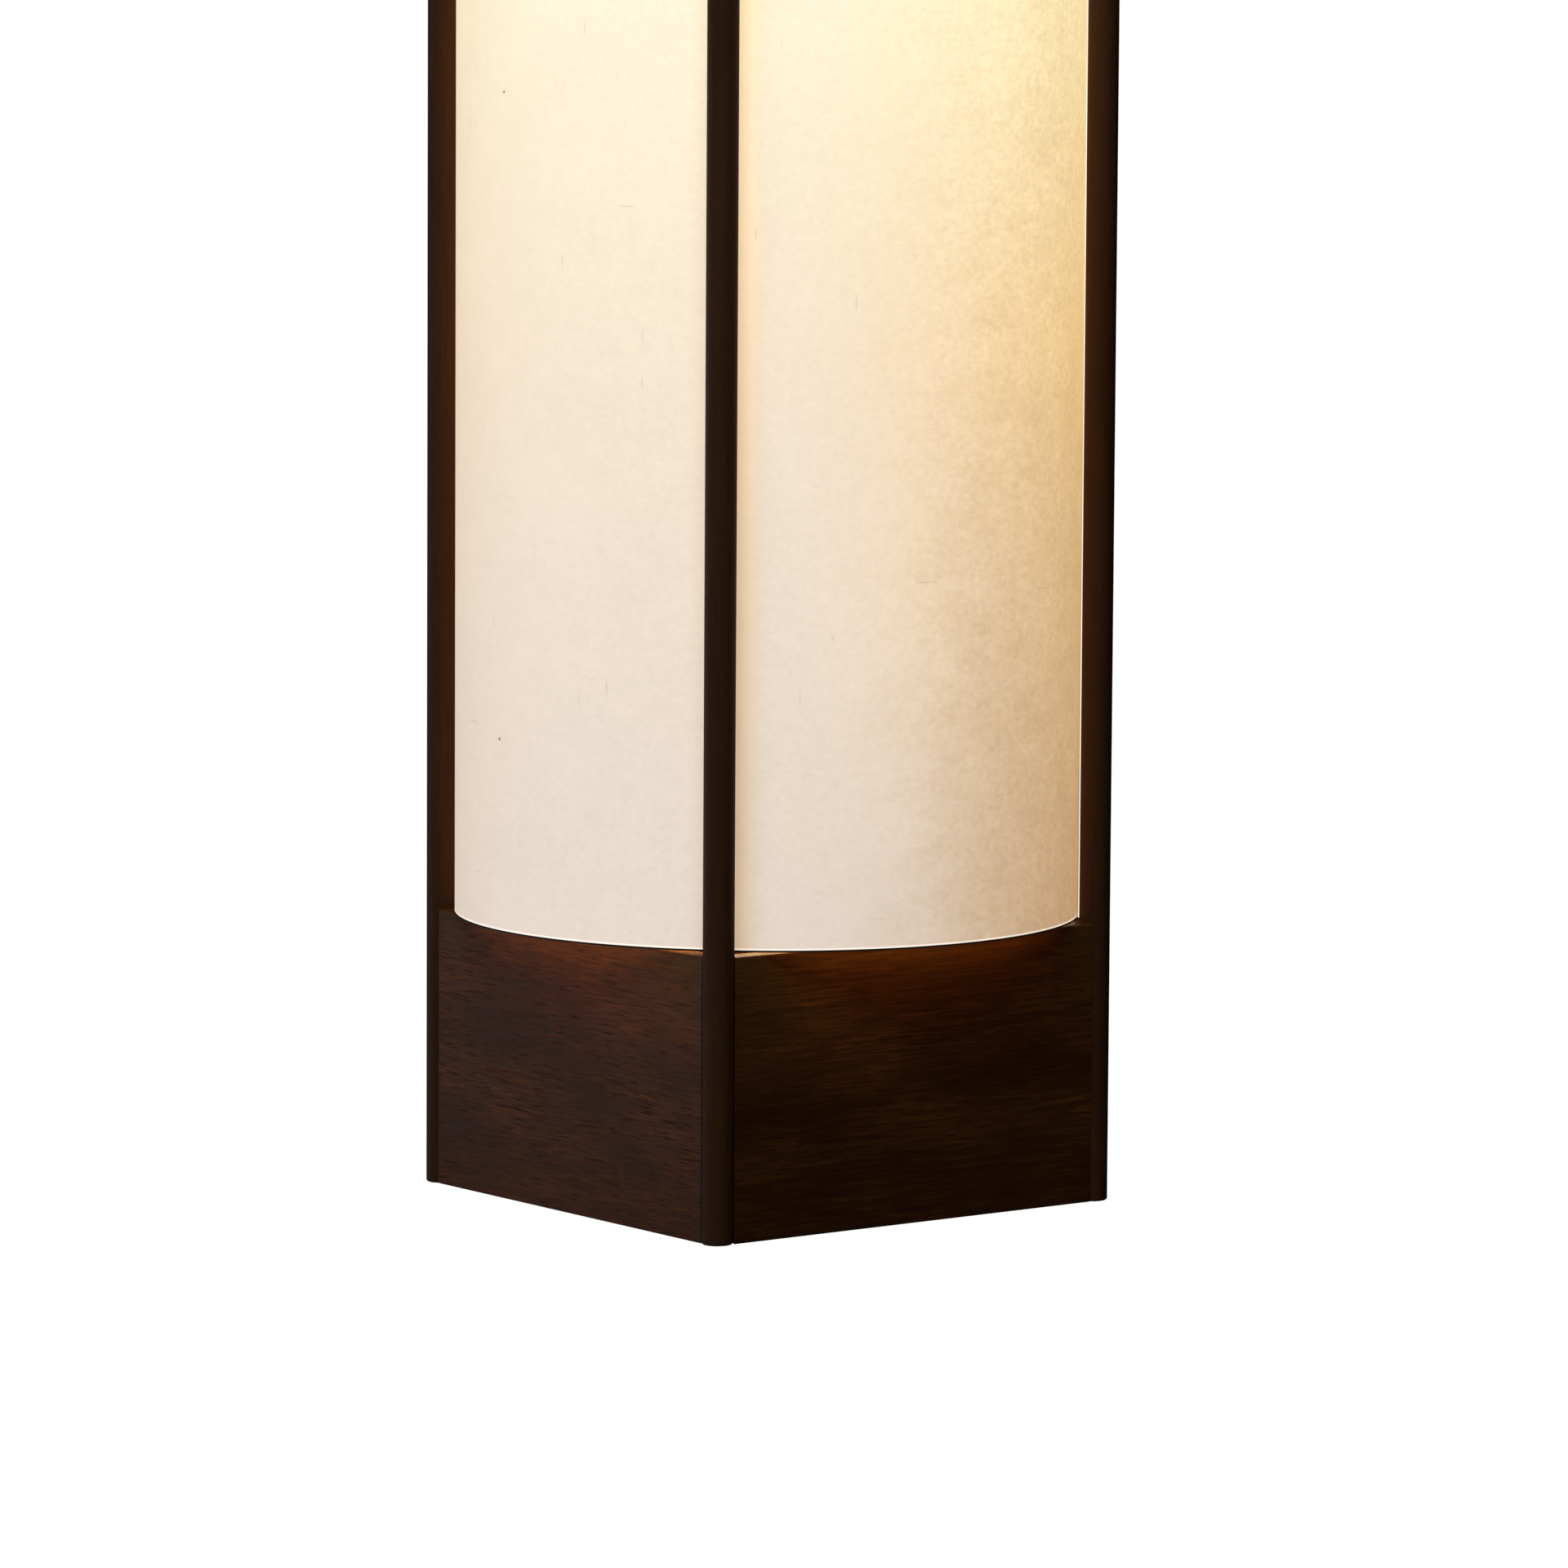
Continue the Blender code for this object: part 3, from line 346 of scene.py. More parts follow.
def turned(name, outline, steps=ROUND_STEPS, closed=True):
    """A piece turned about the axis from (radius, level) points."""
    points = [(radius, 0.0, level) for radius, level in outline]
    if closed:
        points.append(points[0])
    piece = draw(name, points)
    bpy.ops.mesh.select_all(action="SELECT")
    bpy.ops.mesh.remove_doubles(threshold=MERGE)
    bpy.ops.mesh.select_all(action="SELECT")
    bpy.ops.mesh.spin(steps=steps, angle=math.tau, center=(0.0, 0.0, 0.0), axis=(0.0, 0.0, 1.0))
    bpy.ops.mesh.select_all(action="SELECT")
    bpy.ops.mesh.remove_doubles(threshold=MERGE)
    bpy.ops.mesh.normals_make_consistent(inside=False)
    bpy.ops.object.mode_set(mode="OBJECT")
    return piece


def rows(first, last, count):
    """Outline points from one to another, in equal steps, without the last."""
    share = [i / count for i in range(count)]
    return [(first[0] + (last[0] - first[0]) * s, first[1] + (last[1] - first[1]) * s) for s in share]


def arc(centre, radius, start, end, steps):
    """Outline points on an arc, from one angle to another, in degrees."""
    turns = [math.radians(start + (end - start) * i / steps) for i in range(steps + 1)]
    return [(centre[0] + radius * math.cos(a), centre[1] + radius * math.sin(a)) for a in turns]


def eased(outline, width, steps=2):
    """A closed outline whose corners are cut back and rounded by a width."""
    made = []
    count = len(outline)
    for i, corner in enumerate(outline):
        here = Vector(corner)
        back = Vector(outline[i - 1]) - here
        on = Vector(outline[(i + 1) % count]) - here
        cut = min(width, back.length / 2.5, on.length / 2.5)
        first, last = here + back.normalized() * cut, here + on.normalized() * cut
        for j in range(steps + 1):
            share = j / steps
            point = first.lerp(here, share).lerp(here.lerp(last, share), share)
            made.append(tuple(point))
    return made


def press(piece, depth_at):
    """Moves each point of a turned piece towards the axis by a depth for its angle, radius and level."""
    for point in piece.data.vertices:
        radius = point.co.xy.length
        if radius > MERGE:
            angle = math.atan2(point.co.y, point.co.x)
            share = 1.0 - depth_at(angle, radius, point.co.z) / radius
            point.co.x *= share
            point.co.y *= share
    piece.data.update()


def between(value, low, high, soft):
    """1 between two levels, falling to 0 over a soft length past them."""
    edge = min(value - low, high - value)
    return min(max(edge / soft + 1.0, 0.0), 1.0)


def copied(piece, name, turn):
    """A copy with its own mesh, turned about the axis."""
    take(piece)
    bpy.ops.object.duplicate(linked=False)
    made = bpy.context.object
    made.rotation_euler.z = turn
    return named(name)


def threaded(pitch):
    """Ridges that rise round a piece by a pitch in each turn."""
    return lambda angle, level: 0.5 - 0.5 * math.cos(math.tau * level / pitch - angle)


def fluted(count):
    """Grip flutes with flat lands between them."""
    return lambda angle, level: max(math.cos(count * angle), 0.0)


def ridged(piece, depth, wave, inner, low, high, soft, ceiling=math.inf):
    """Presses threads or flutes into a piece, outside a radius and between two levels."""

    def depth_at(angle, radius, level):
        if radius < inner or level > ceiling:
            return 0.0
        return depth * wave(angle, level) * between(level, low, high, soft)

    press(piece, depth_at)
    return piece


def place(piece, finish, node, body=LANTERN, smooth=SMOOTH):
    """Gives a piece its finish, and hands it to the frame in place of its CAD node."""
    take(piece)
    bpy.ops.object.shade_smooth_by_angle(angle=math.radians(smooth))
    piece.data.materials.clear()
    piece.data.materials.append(finish_named(finish))
    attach(piece, body)
    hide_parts(node)


class Finish:
    """A material whose nodes are added from left to right."""

    def __init__(self, name, roughness, metallic=0.0, specular=0.5):
        self.material = bpy.data.materials.new(name)
        self.material.use_nodes = True
        self.tree = self.material.node_tree
        self.shader = self.tree.nodes["Principled BSDF"]
        self.surface("Roughness", roughness)
        self.surface("Metallic", metallic)
        self.surface("Specular IOR Level", specular)
        self.place = self.tree.nodes.new("ShaderNodeTexCoord").outputs["Object"]

    def feed(self, socket, value):
        """Links a socket to an output of another node, or sets its value."""
        if isinstance(value, bpy.types.NodeSocket):
            self.tree.links.new(value, socket)
        elif hasattr(value, "__len__") and len(value) == 3 and len(socket.default_value) == 4:
            socket.default_value = (*value, 1.0)
        else:
            socket.default_value = value

    def surface(self, name, value):
        """Feeds an input of the surface's shader."""
        self.feed(self.shader.inputs[name], value)

    def node(self, kind, inputs, output=0, **settings):
        """Adds a node, sets it up, feeds its inputs and gives one of its outputs."""
        made = self.tree.nodes.new("ShaderNode" + kind)
        for key, value in settings.items():
            setattr(made, key, value)
        for key, value in inputs.items():
            self.feed(made.inputs[key], value)
        return made.outputs[output]

    def math(self, operation, *values):
        return self.node("Math", dict(enumerate(values)), operation=operation)

    def times(self, first, second):
        return self.math("MULTIPLY", first, second)

    def line(self, value, slope, start):
        """A value multiplied by one number, plus another."""
        return self.math("MULTIPLY_ADD", value, slope, start)

    def span(self, value, low, high, to_low=0.0, to_high=1.0, kind="LINEAR"):
        """A value's place between two others, as a number between two more."""
        inputs = dict(enumerate((value, low, high, to_low, to_high)))
        return self.node("MapRange", inputs, interpolation_type=kind)

    def sway(self, value, reach):
        """Object coordinates pushed about by a noise, up to half the reach either way."""
        offset = self.line(value, reach, -0.5 * reach)
        joined = self.node("CombineXYZ", {"X": offset, "Y": offset, "Z": offset})
        return self.node("VectorMath", {0: self.place, 1: joined}, operation="ADD")

    def stretch(self, scale, where=None, turn=(0.0, 0.0, 0.0)):
        """Object coordinates, or those given, scaled by axis after a turn."""
        return self.node("Mapping", {"Vector": where or self.place, "Scale": scale, "Rotation": turn})

    def noise(self, where, scale=1.0, detail=3.0, roughness=0.5, distortion=0.0):
        keys = ("Vector", "Scale", "Detail", "Roughness", "Distortion")
        return self.node("TexNoise", dict(zip(keys, (where, scale, detail, roughness, distortion))))

    def cells(self, where, scale=1.0):
        """Distance to the nearest of scattered points, and a number of its own for each."""
        distance = self.node("TexVoronoi", {"Vector": where, "Scale": scale}, "Distance")
        return distance, self.node("SeparateColor", {0: distance.node.outputs["Color"]})

    def mix(self, share, first, second, blend="MIX"):
        return self.node("Mix", {0: share, 6: first, 7: second}, 2, data_type="RGBA", blend_type=blend)

    def graded(self, share, far, middle, near, turn=0.35):
        """A colour that goes from one through another to a third."""
        lower = self.mix(self.span(share, 0.0, turn), far, middle)
        return self.mix(self.span(share, turn, 1.0), lower, near)

    def shaded(self, colour, value):
        """A colour multiplied by a number."""
        return self.node("VectorMath", {0: colour, "Scale": value}, operation="SCALE")

    def parts(self, where):
        return self.node("SeparateXYZ", {0: where}).node.outputs

    def bump(self, height, distance):
        normal = self.node("Bump", {"Strength": 1.0, "Distance": distance, "Height": height}, "Normal")
        self.surface("Normal", normal)


def wood_finish(name, along, tones, figure):
    """Dark oiled wood whose grain runs along one axis: bands, streaks in patches, fibres and open pores, and
    painted lamplight on the top 40 mm of the lower panels.
    """
    streaked, depth, matt = figure["streaked"], figure["depth"], figure["matt"]

    def grain(lengthwise, across):
        scale = [across] * 3
        scale[along] = lengthwise
        return wood.stretch(scale, wavy)

    dark, light, streak, pore, lamp_glow_tint = tones
    wood = Finish(name, roughness=matt, specular=figure["gloss"])
    sway = wood.noise(wood.stretch((16.0, 16.0, 16.0)), detail=2.0)
    wavy = wood.sway(sway, 0.004 * streaked)
    bands = wood.noise(grain(7.0, 60.0), detail=5.0, roughness=0.62, distortion=0.5)
    streaks = wood.noise(grain(34.0, 640.0), detail=4.0, roughness=0.70)
    patches = wood.noise(grain(14.0, 30.0), detail=4.0, roughness=0.62)
    fibres = wood.noise(grain(45.0, 1250.0), detail=4.0, roughness=0.72)
    pores = wood.noise(grain(85.0, 2000.0), detail=2.0, roughness=0.6)

    patchy = wood.span(patches, 0.38, 0.64, 0.06, 1.0)
    tone = wood.mix(wood.span(bands, 0.30, 0.70), dark, light)
    ruddy = wood.line(wood.span(streaks, 0.46, 0.78), 0.85, 0.15)
    share = wood.times(wood.times(ruddy, patchy), 0.85 * streaked)
    tone = wood.mix(share, tone, streak)
    level = wood.parts(wood.place)[2]
    # Painted lamplight: the lower panels' tops are tinted golden where the shade's glow falls on them.
    lamp_glow_share = wood.times(wood.span(level, PANEL_HIGH.z - 40 * MM, PANEL_HIGH.z, 0.0, 0.58), streaked)
    below = wood.span(level, PANEL_HIGH.z, PANEL_HIGH.z + 1 * MM, 1.0, 0.0)
    tone = wood.mix(wood.times(lamp_glow_share, below), tone, lamp_glow_tint)
    tone = wood.shaded(tone, wood.span(fibres, 0.25, 0.75, 1.0 - depth, 1.0 + depth))
    deep = wood.span(pores, 0.57, 0.72, 0.0, 1.7 * depth)
    open_pores = wood.times(deep, wood.span(patchy, 0.0, 1.0, 0.4, 1.0))
    wood.surface("Base Color", wood.mix(open_pores, tone, pore))
    rough = wood.span(fibres, 0.2, 0.8, matt - 0.08, matt + 0.08)
    top = wood.times(below, wood.span(level, PANEL_HIGH.z - 0.3 * MM, PANEL_HIGH.z - 0.1 * MM))
    wood.surface("Roughness", wood.times(rough, wood.span(top, 0.0, 1.0, 1.0, figure["planed"])))
    wood.bump(wood.line(open_pores, -1.4, fibres), 0.00008)
    return wood.material


def paper_finish(colours, lap):
    """Parchment with brown clouds on one flank, fine grain and flecks, which glows as if the bulb lit it
    through; the flank's clouds and glow stand in partly for shade, and a shadow beside each post, a bright
    line at the foot and a brighter patch are painted.
    """
    paper = Finish("parchment", roughness=0.72, specular=0.25)
    clouds = paper.noise(paper.place, 24.0, detail=4.0, roughness=0.55, distortion=0.2)
    blots = paper.noise(paper.stretch((64.0, 64.0, 100.0)), detail=5.0, roughness=0.76)
    grain = paper.noise(paper.stretch((320.0, 320.0, 400.0)), detail=4.0, roughness=0.75)
    distance, number = paper.cells(paper.place, 42.0)
    lying = paper.cells(paper.stretch((22.0, 22.0, 260.0), turn=(0.25, 0.20, 0.0)))
    standing = paper.cells(paper.stretch((250.0, 250.0, 30.0), turn=(0.10, 0.12, 0.0)))

    fleck = paper.times(paper.span(distance, 0.020, 0.034, 1.0, 0.0), paper.span(number, 0.80, 0.81))
    for hair_distance, hair_number in (lying, standing):
        kept = paper.span(hair_number, 0.88, 0.89)
        hair = paper.times(paper.span(hair_distance, 0.05, 0.12, 0.22, 0.0), kept)
        fleck = paper.math("MAXIMUM", fleck, hair)
    thick = paper.math("ADD", paper.times(clouds, 0.4), paper.times(blots, 0.6))
    cloudy = paper.span(thick, 0.36, 0.64, -1.0, 1.0)
    grainy = paper.span(grain, 0.25, 0.75, -1.0, 1.0)

    x, y, level = paper.parts(paper.place)
    across = paper.line(y, FLANK_WAY[1], paper.times(x, FLANK_WAY[0]))
    across = paper.line(cloudy, -0.008, across)
    reach = paper.math("DIVIDE", paper.math("SUBTRACT", level, GLOBE_LEVEL), GLOW_REACH)
    near = paper.math("DIVIDE", 1.0, paper.line(reach, reach, 1.0))
    near = paper.span(near, 0.2, 1.0)
    # Flank masks: on this side the parchment's clouds, stronger grain and a glow of its own stand in partly
    # for painted shade.
    flank = paper.span(across, paper.span(near, 0.0, 0.45, 0.032, -0.010), 0.100, kind="SMOOTHSTEP")
    rough = paper.span(across, 0.030, 0.100, kind="SMOOTHSTEP")
    # Painted shadow of the posts: a strip of the sheet beside each post, on the same side of each.
    quarter = paper.line(paper.math("ARCTAN2", y, x), 2.0 / math.pi, 0.5)
    beside = paper.math("FRACT", quarter)
    shadow_and_glue = paper.span(beside, 0.045, 0.080, 1.0, 0.0, kind="SMOOTHSTEP")
    behind = paper.span(y, 0.0, 10 * MM)
    from_seam = paper.math("ABSOLUTE", paper.math("ADD", x, lap / 2))
    seam = paper.times(behind, paper.span(from_seam, 0.5 * MM, 1.0 * MM, 0.7, 0.0))
    doubled = paper.span(paper.math("ABSOLUTE", x), lap / 2 + 0.2 * MM, lap / 2 + 0.6 * MM, 1.0, 0.0)
    lapped = paper.times(behind, doubled)
    # A dark band along the sheet's lowest 0.8 mm, which takes no glow.
    edge = paper.span(level, PAPER_LOW.z + 0.7 * MM, PAPER_LOW.z + 0.8 * MM, 1.0, 0.0)

    # Brown clouds of the flank: partly real clouds, partly painted shade.
    brown = paper.times(rough, paper.span(thick, 0.37, 0.60, 0.55, 0.0))
    # Painted highlight: a bright line on the sheet just above its foot, in colour and in glow.
    rim = paper.span(level, PAPER_LOW.z + 1.3 * MM, PAPER_LOW.z + 1.5 * MM, 1.0, 0.0)
    tone = paper.mix(paper.span(thick, 0.35, 0.65), colours.paper_dark, colours.paper)
    tone = paper.shaded(tone, paper.line(grainy, paper.span(rough, 0.0, 1.0, 0.055, 0.170), 1.0))
    tone = paper.mix(paper.math("MAXIMUM", shadow_and_glue, seam), tone, colours.shadow_and_glue)
    tone = paper.mix(brown, tone, colours.clouds_and_flank_shade)
    tone = paper.mix(rim, tone, colours.rim)
    tone = paper.mix(fleck, tone, colours.fleck)
    paper.surface("Base Color", paper.mix(edge, tone, colours.edge))
    paper.surface("Roughness", paper.span(grain, 0.3, 0.7, 0.66, 0.80))
    paper.bump(paper.line(blots, 1.5, grain), 0.00008)

    front = paper.graded(near, colours.glow_far, colours.glow_mid, colours.glow)
    side = paper.graded(near, colours.flank_far, colours.flank_mid, colours.flank)
    light = paper.mix(flank, front, side)
    # Painted shade: the glow in the post shadow strip is warmer, most of all far from the bulb.
    shadow_warmed = paper.times(shadow_and_glue, paper.span(near, 0.0, 0.45, 1.0, 0.4))
    light = paper.mix(shadow_warmed, light, colours.shadow_warmth, blend="MULTIPLY")
    light = paper.mix(brown, light, colours.tan, blend="MULTIPLY")
    paper.surface("Emission Color", paper.mix(rim, light, colours.rim_highlight_glow))
    passed = paper.line(cloudy, paper.span(rough, 0.0, 1.0, 0.030, 0.062), 1.0)
    grained = paper.line(grainy, paper.span(rough, 0.0, 1.0, 0.042, 0.135), 1.0)
    passed = paper.times(passed, grained)
    # Painted shade and light: the glow in the post shadow strip is a little dimmer far from the bulb and
    # brighter near it.
    beside_post = paper.times(shadow_and_glue, paper.span(near, 0.0, 0.45, -0.05, 0.14))
    passed = paper.times(passed, paper.math("ADD", beside_post, 1.0))
    # A painted pool of light: the glow is a tenth stronger in a patch low on the sheet, towards the flank.
    height = paper.math("ABSOLUTE", paper.math("SUBTRACT", level, PAPER_LOW.z + 120 * MM))
    aside = paper.math("ABSOLUTE", paper.math("SUBTRACT", across, 45 * MM))
    bright = paper.math(
        "MULTIPLY",
        paper.span(height, 0.0, 140 * MM, 1.0, 0.0, kind="SMOOTHSTEP"),
        paper.span(aside, 0.0, 50 * MM, 1.0, 0.0, kind="SMOOTHSTEP"),
    )
    passed = paper.times(passed, paper.line(bright, 0.10, 1.0))
    passed = paper.times(passed, paper.span(near, 0.78, 1.0, 1.0, 1.06, kind="SMOOTHSTEP"))
    passed = paper.times(passed, paper.line(lapped, -0.28, 1.0))
    passed = paper.times(passed, paper.line(fleck, -0.7, 1.0))
    paper.surface("Emission Strength", paper.times(passed, paper.math("SUBTRACT", 1.0, edge)))
    return paper.material


def zinc_finish(colours):
    """Zinc-plated steel: faint spangle and a dull bloom."""
    zinc = Finish("zinc", roughness=0.34, metallic=1.0)
    spangle = zinc.noise(zinc.place, 420.0, detail=4.0, roughness=0.65)
    bloom = zinc.noise(zinc.place, 90.0, detail=3.0)
    tone = zinc.shaded(colours.zinc, zinc.span(spangle, 0.3, 0.7, 0.84, 1.12))
    zinc.surface("Base Color", zinc.mix(zinc.span(bloom, 0.45, 0.75, 0.0, 0.5), tone, (0.40, 0.38, 0.33)))
    zinc.surface("Roughness", zinc.span(bloom, 0.3, 0.7, 0.28, 0.46))
    zinc.bump(spangle, 0.00004)
    return zinc.material


def brass_finish(colours):
    """Turned brass: fine rings from the tool and a brown bloom."""
    brass = Finish("brass", roughness=0.3, metallic=1.0)
    rings = brass.noise(brass.stretch((60.0, 60.0, 5200.0)), detail=2.0)
    bloom = brass.noise(brass.place, 140.0, detail=4.0, roughness=0.6)
    tone = brass.shaded(colours.brass, brass.span(rings, 0.3, 0.7, 0.92, 1.06))
    brass.surface("Base Color", brass.mix(brass.span(bloom, 0.45, 0.8, 0.0, 0.7), tone, (0.26, 0.15, 0.06)))
    brass.surface("Roughness", brass.span(bloom, 0.3, 0.75, 0.22, 0.44))
    brass.bump(rings, 0.00003)
    return brass.material


def resin_finish(name, colour, paler, roughness):
    """Moulded resin: faint flow marks and a fine moulded grain."""
    resin = Finish(name, roughness=roughness)
    flow = resin.noise(resin.place, 60.0, detail=4.0, roughness=0.6, distortion=1.4)
    grain = resin.noise(resin.place, 1500.0, detail=2.0)
    resin.surface("Base Color", resin.mix(resin.span(flow, 0.4, 0.7), colour, paler))
    resin.surface("Roughness", resin.span(grain, 0.3, 0.7, roughness - 0.06, roughness + 0.08))
    resin.bump(grain, 0.00004)
    return resin.material


def opal_finish(colours):
    """Opal globe, lit from inside and dimmer towards its neck."""
    opal = Finish("opal", roughness=0.22)
    cast = opal.noise(opal.place, 120.0, detail=2.0)
    opal.surface("Base Color", opal.shaded(colours.opal, opal.span(cast, 0.3, 0.7, 0.97, 1.02)))
    level = opal.parts(opal.place)[2]
    lit = opal.span(level, GLOBE_HIGH.z, GLOBE_LEVEL, 2.6, 4.2)
    opal.surface("Emission Color", opal.mix(opal.span(cast, 0.3, 0.7), (1.0, 0.80, 0.52), (1.0, 0.84, 0.58)))
    opal.surface("Emission Strength", lit)
    return opal.material


def ceramic_finish(colours):
    """Unglazed ceramic with fine dark specks."""
    ceramic = Finish("ceramic", roughness=0.6)
    grain = ceramic.noise(ceramic.place, 900.0, detail=3.0)
    distance, number = ceramic.cells(ceramic.place, 600.0)
    speck = ceramic.times(ceramic.span(distance, 0.1, 0.2, 0.7, 0.0), ceramic.span(number, 0.8, 0.82))
    tone = ceramic.shaded(colours.ceramic, ceramic.span(grain, 0.3, 0.7, 0.94, 1.03))
    ceramic.surface("Base Color", ceramic.mix(speck, tone, (0.30, 0.24, 0.18)))
    ceramic.bump(grain, 0.00005)
    return ceramic.material


def finish_named(name):
    """A finish of this lantern, made when it is first asked for."""
    ready = bpy.data.materials.get("lantern_" + name)
    if ready:
        return ready
    colours = bpy.context.scene.lantern_colours
    golden = (colours.front_dark, colours.front, colours.front_streak, colours.pores, colours.lamp_glow_tint)
    ruddy = (colours.wood_dark, colours.wood, colours.wood_red, colours.pores, colours.lamp_glow_tint)
    dowels = (colours.dowel_dark, colours.dowel, colours.wood_red, colours.pores, colours.dowel)
    makers = {
        "wood_x": lambda: wood_finish("wood_x", 0, golden, GOLDEN),
        "wood_y": lambda: wood_finish("wood_y", 1, ruddy, RUDDY),
        "wood_z": lambda: wood_finish("wood_z", 2, dowels, DOWELS),
        "parchment": lambda: paper_finish(colours, bpy.context.scene.lantern_sizes.paper_lap),
        "zinc": lambda: zinc_finish(colours),
        "brass": lambda: brass_finish(colours),
        "black_resin": lambda: resin_finish("black_resin", colours.black_resin, (0.034, 0.026, 0.021), 0.36),
        "white_resin": lambda: resin_finish("white_resin", colours.white_resin, (0.84, 0.82, 0.78), 0.34),
        "rubber": lambda: resin_finish("rubber", colours.rubber, (0.030, 0.029, 0.028), 0.78),
        "opal": lambda: opal_finish(colours),
        "ceramic": lambda: ceramic_finish(colours),
    }
    made = makers[name]()
    made.name = "lantern_" + name
    return made


def refinish(node, name):
    """Gives a CAD node that stays in sight one of the lantern's finishes."""
    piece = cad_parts[node]
    piece.data.materials.clear()
    piece.data.materials.append(finish_named(name))


class LANTERN_OT_posts(bpy.types.Operator):
    """Four dowels with eased ends, mortised for the panels' tenons"""

    bl_idname = "lantern.posts"
    bl_label = "Posts"

    def execute(self, context):
        sizes = context.scene.lantern_sizes
        radius = sizes.post_diameter / 2
        centre = POST_CENTRE.xy
        low, high = POST_LOW.z, POST_HIGH.z
        first = rod("dowel_" + CORNERS[0], radius, low, high, POST_STEPS, centre)

        def at_an_end(edge):
            levels = [point.co.z for point in edge.verts]
            return max(levels) - min(levels) < MERGE

        ease(first, at_an_end, sizes.post_round, segments=4)
        half = sizes.tenon_thickness / 2 + GAP
        floor = half + 2 * GAP
        reach = radius + CUT_MARGIN
        length = PANEL_HIGH.z - PANEL_LOW.z - 2 * sizes.tenon_shoulder + 2 * GAP
        foot = low + sizes.tenon_shoulder - GAP
        head = high - sizes.tenon_shoulder + GAP - length
        for base in (foot, head):
            for axis in range(2):
                near, far = [-half] * 2, [half] * 2
                near[axis], far[axis] = floor, reach
                near, far = centre + Vector(near), centre + Vector(far)
                carve(first, block("mortise", (*near, base), (*far, base + length)))
        posts = [first]
        for number, corner in enumerate(CORNERS[1:], 1):
            posts.append(copied(first, "dowel_" + corner, math.radians(90 * number)))
        for post, corner in zip(posts, CORNERS):
            place(post, "wood_z", "post_" + corner)
        return {"FINISHED"}


class LANTERN_OT_panels(bpy.types.Operator):
    """Eight flat panels whose hollowed ends hug the posts and whose tenons enter them"""

    bl_idname = "lantern.panels"
    bl_label = "Panels"

    def execute(self, context):
        sizes = context.scene.lantern_sizes
        for row, low, high in (("lower", PANEL_LOW, PANEL_HIGH), ("upper", UPPER_LOW, UPPER_HIGH)):
            first = self.front_panel(sizes, f"plank_{row}_{SIDES[0]}", low, high)
            if row == "upper":
                self.groove(first)
            panels = [first]
            for number, side in enumerate(SIDES[1:], 1):
                panels.append(copied(first, f"plank_{row}_{side}", math.radians(90 * number)))
            for panel, side in zip(panels, SIDES):
                grain = "wood_x" if side in ("front", "back") else "wood_y"
                place(panel, grain, f"{row}_panel_{side}")
        return {"FINISHED"}

    def front_panel(self, sizes, name, low, high):
        """The front panel between two levels."""
        panel = block(name, (-PITCH_HALF, low.y, low.z), (PITCH_HALF, high.y, high.z))
        ease(panel, lambda edge: True, sizes.panel_round)
        hug = sizes.post_diameter / 2 + GAP
        base, top = low.z - CUT_MARGIN, high.z + CUT_MARGIN
        for way in (-1, 1):
            carve(panel, rod("hollow", hug, base, top, POST_STEPS, (way * PITCH_HALF, -PITCH_HALF)))
            ends = sorted((way * (PANEL_INSIDE - GAP), way * (PITCH_HALF + CUT_MARGIN)))
            relief_low = (ends[0], high.y - CORNER_RELIEF, base)
            carve(panel, block("relief", relief_low, (ends[1], high.y + CUT_MARGIN, top)))
        half = sizes.tenon_thickness / 2
        reach = PITCH_HALF - half - 4 * GAP
        tenon_low = (-reach, -PITCH_HALF - half, low.z + sizes.tenon_shoulder)
        tenon_high = (reach, -PITCH_HALF + half, high.z - sizes.tenon_shoulder)
        carve(panel, block("tenons", tenon_low, tenon_high), "UNION")
        return panel

    def groove(self, panel):
        """Groove for the top board's tongue."""
        middle = (BOARD_LOW.z + BOARD_HIGH.z) / 2
        half = TONGUE_HALF + GAP
        floor = BOARD_LOW.y - GAP
        low = (-PITCH_HALF, floor, middle - half)
        carve(panel, block("groove", low, (PITCH_HALF, UPPER_HIGH.y + CUT_MARGIN, middle + half)))


class LANTERN_OT_top_board(bpy.types.Operator):
    """Square board with a tongue all round, hollowed at its corners and bored for the stem"""

    bl_idname = "lantern.top_board"
    bl_label = "Top board"

    def execute(self, context):
        sizes = context.scene.lantern_sizes
        inside = PANEL_INSIDE - GAP
        board = block("ceiling_board", (-inside, -inside, BOARD_LOW.z), (inside, inside, BOARD_HIGH.z))
        ease(board, lambda edge: True, sizes.panel_round)
        reach = BOARD_HIGH.x
        middle = (BOARD_LOW.z + BOARD_HIGH.z) / 2
        low, high = middle - TONGUE_HALF, middle + TONGUE_HALF
        carve(board, block("tongue", (-reach, -reach, low), (reach, reach, high)), "UNION")
        base, top = BOARD_LOW.z - CUT_MARGIN, BOARD_HIGH.z + CUT_MARGIN
        hug = sizes.post_diameter / 2 + GAP
        for x in (-PITCH_HALF, PITCH_HALF):
            for y in (-PITCH_HALF, PITCH_HALF):
                carve(board, rod("hollow", hug, base, top, POST_STEPS, (x, y)))
        carve(board, rod("bore", STEM_HIGH.x + GAP, base, top))
        place(board, "wood_x", "top_board")
        return {"FINISHED"}


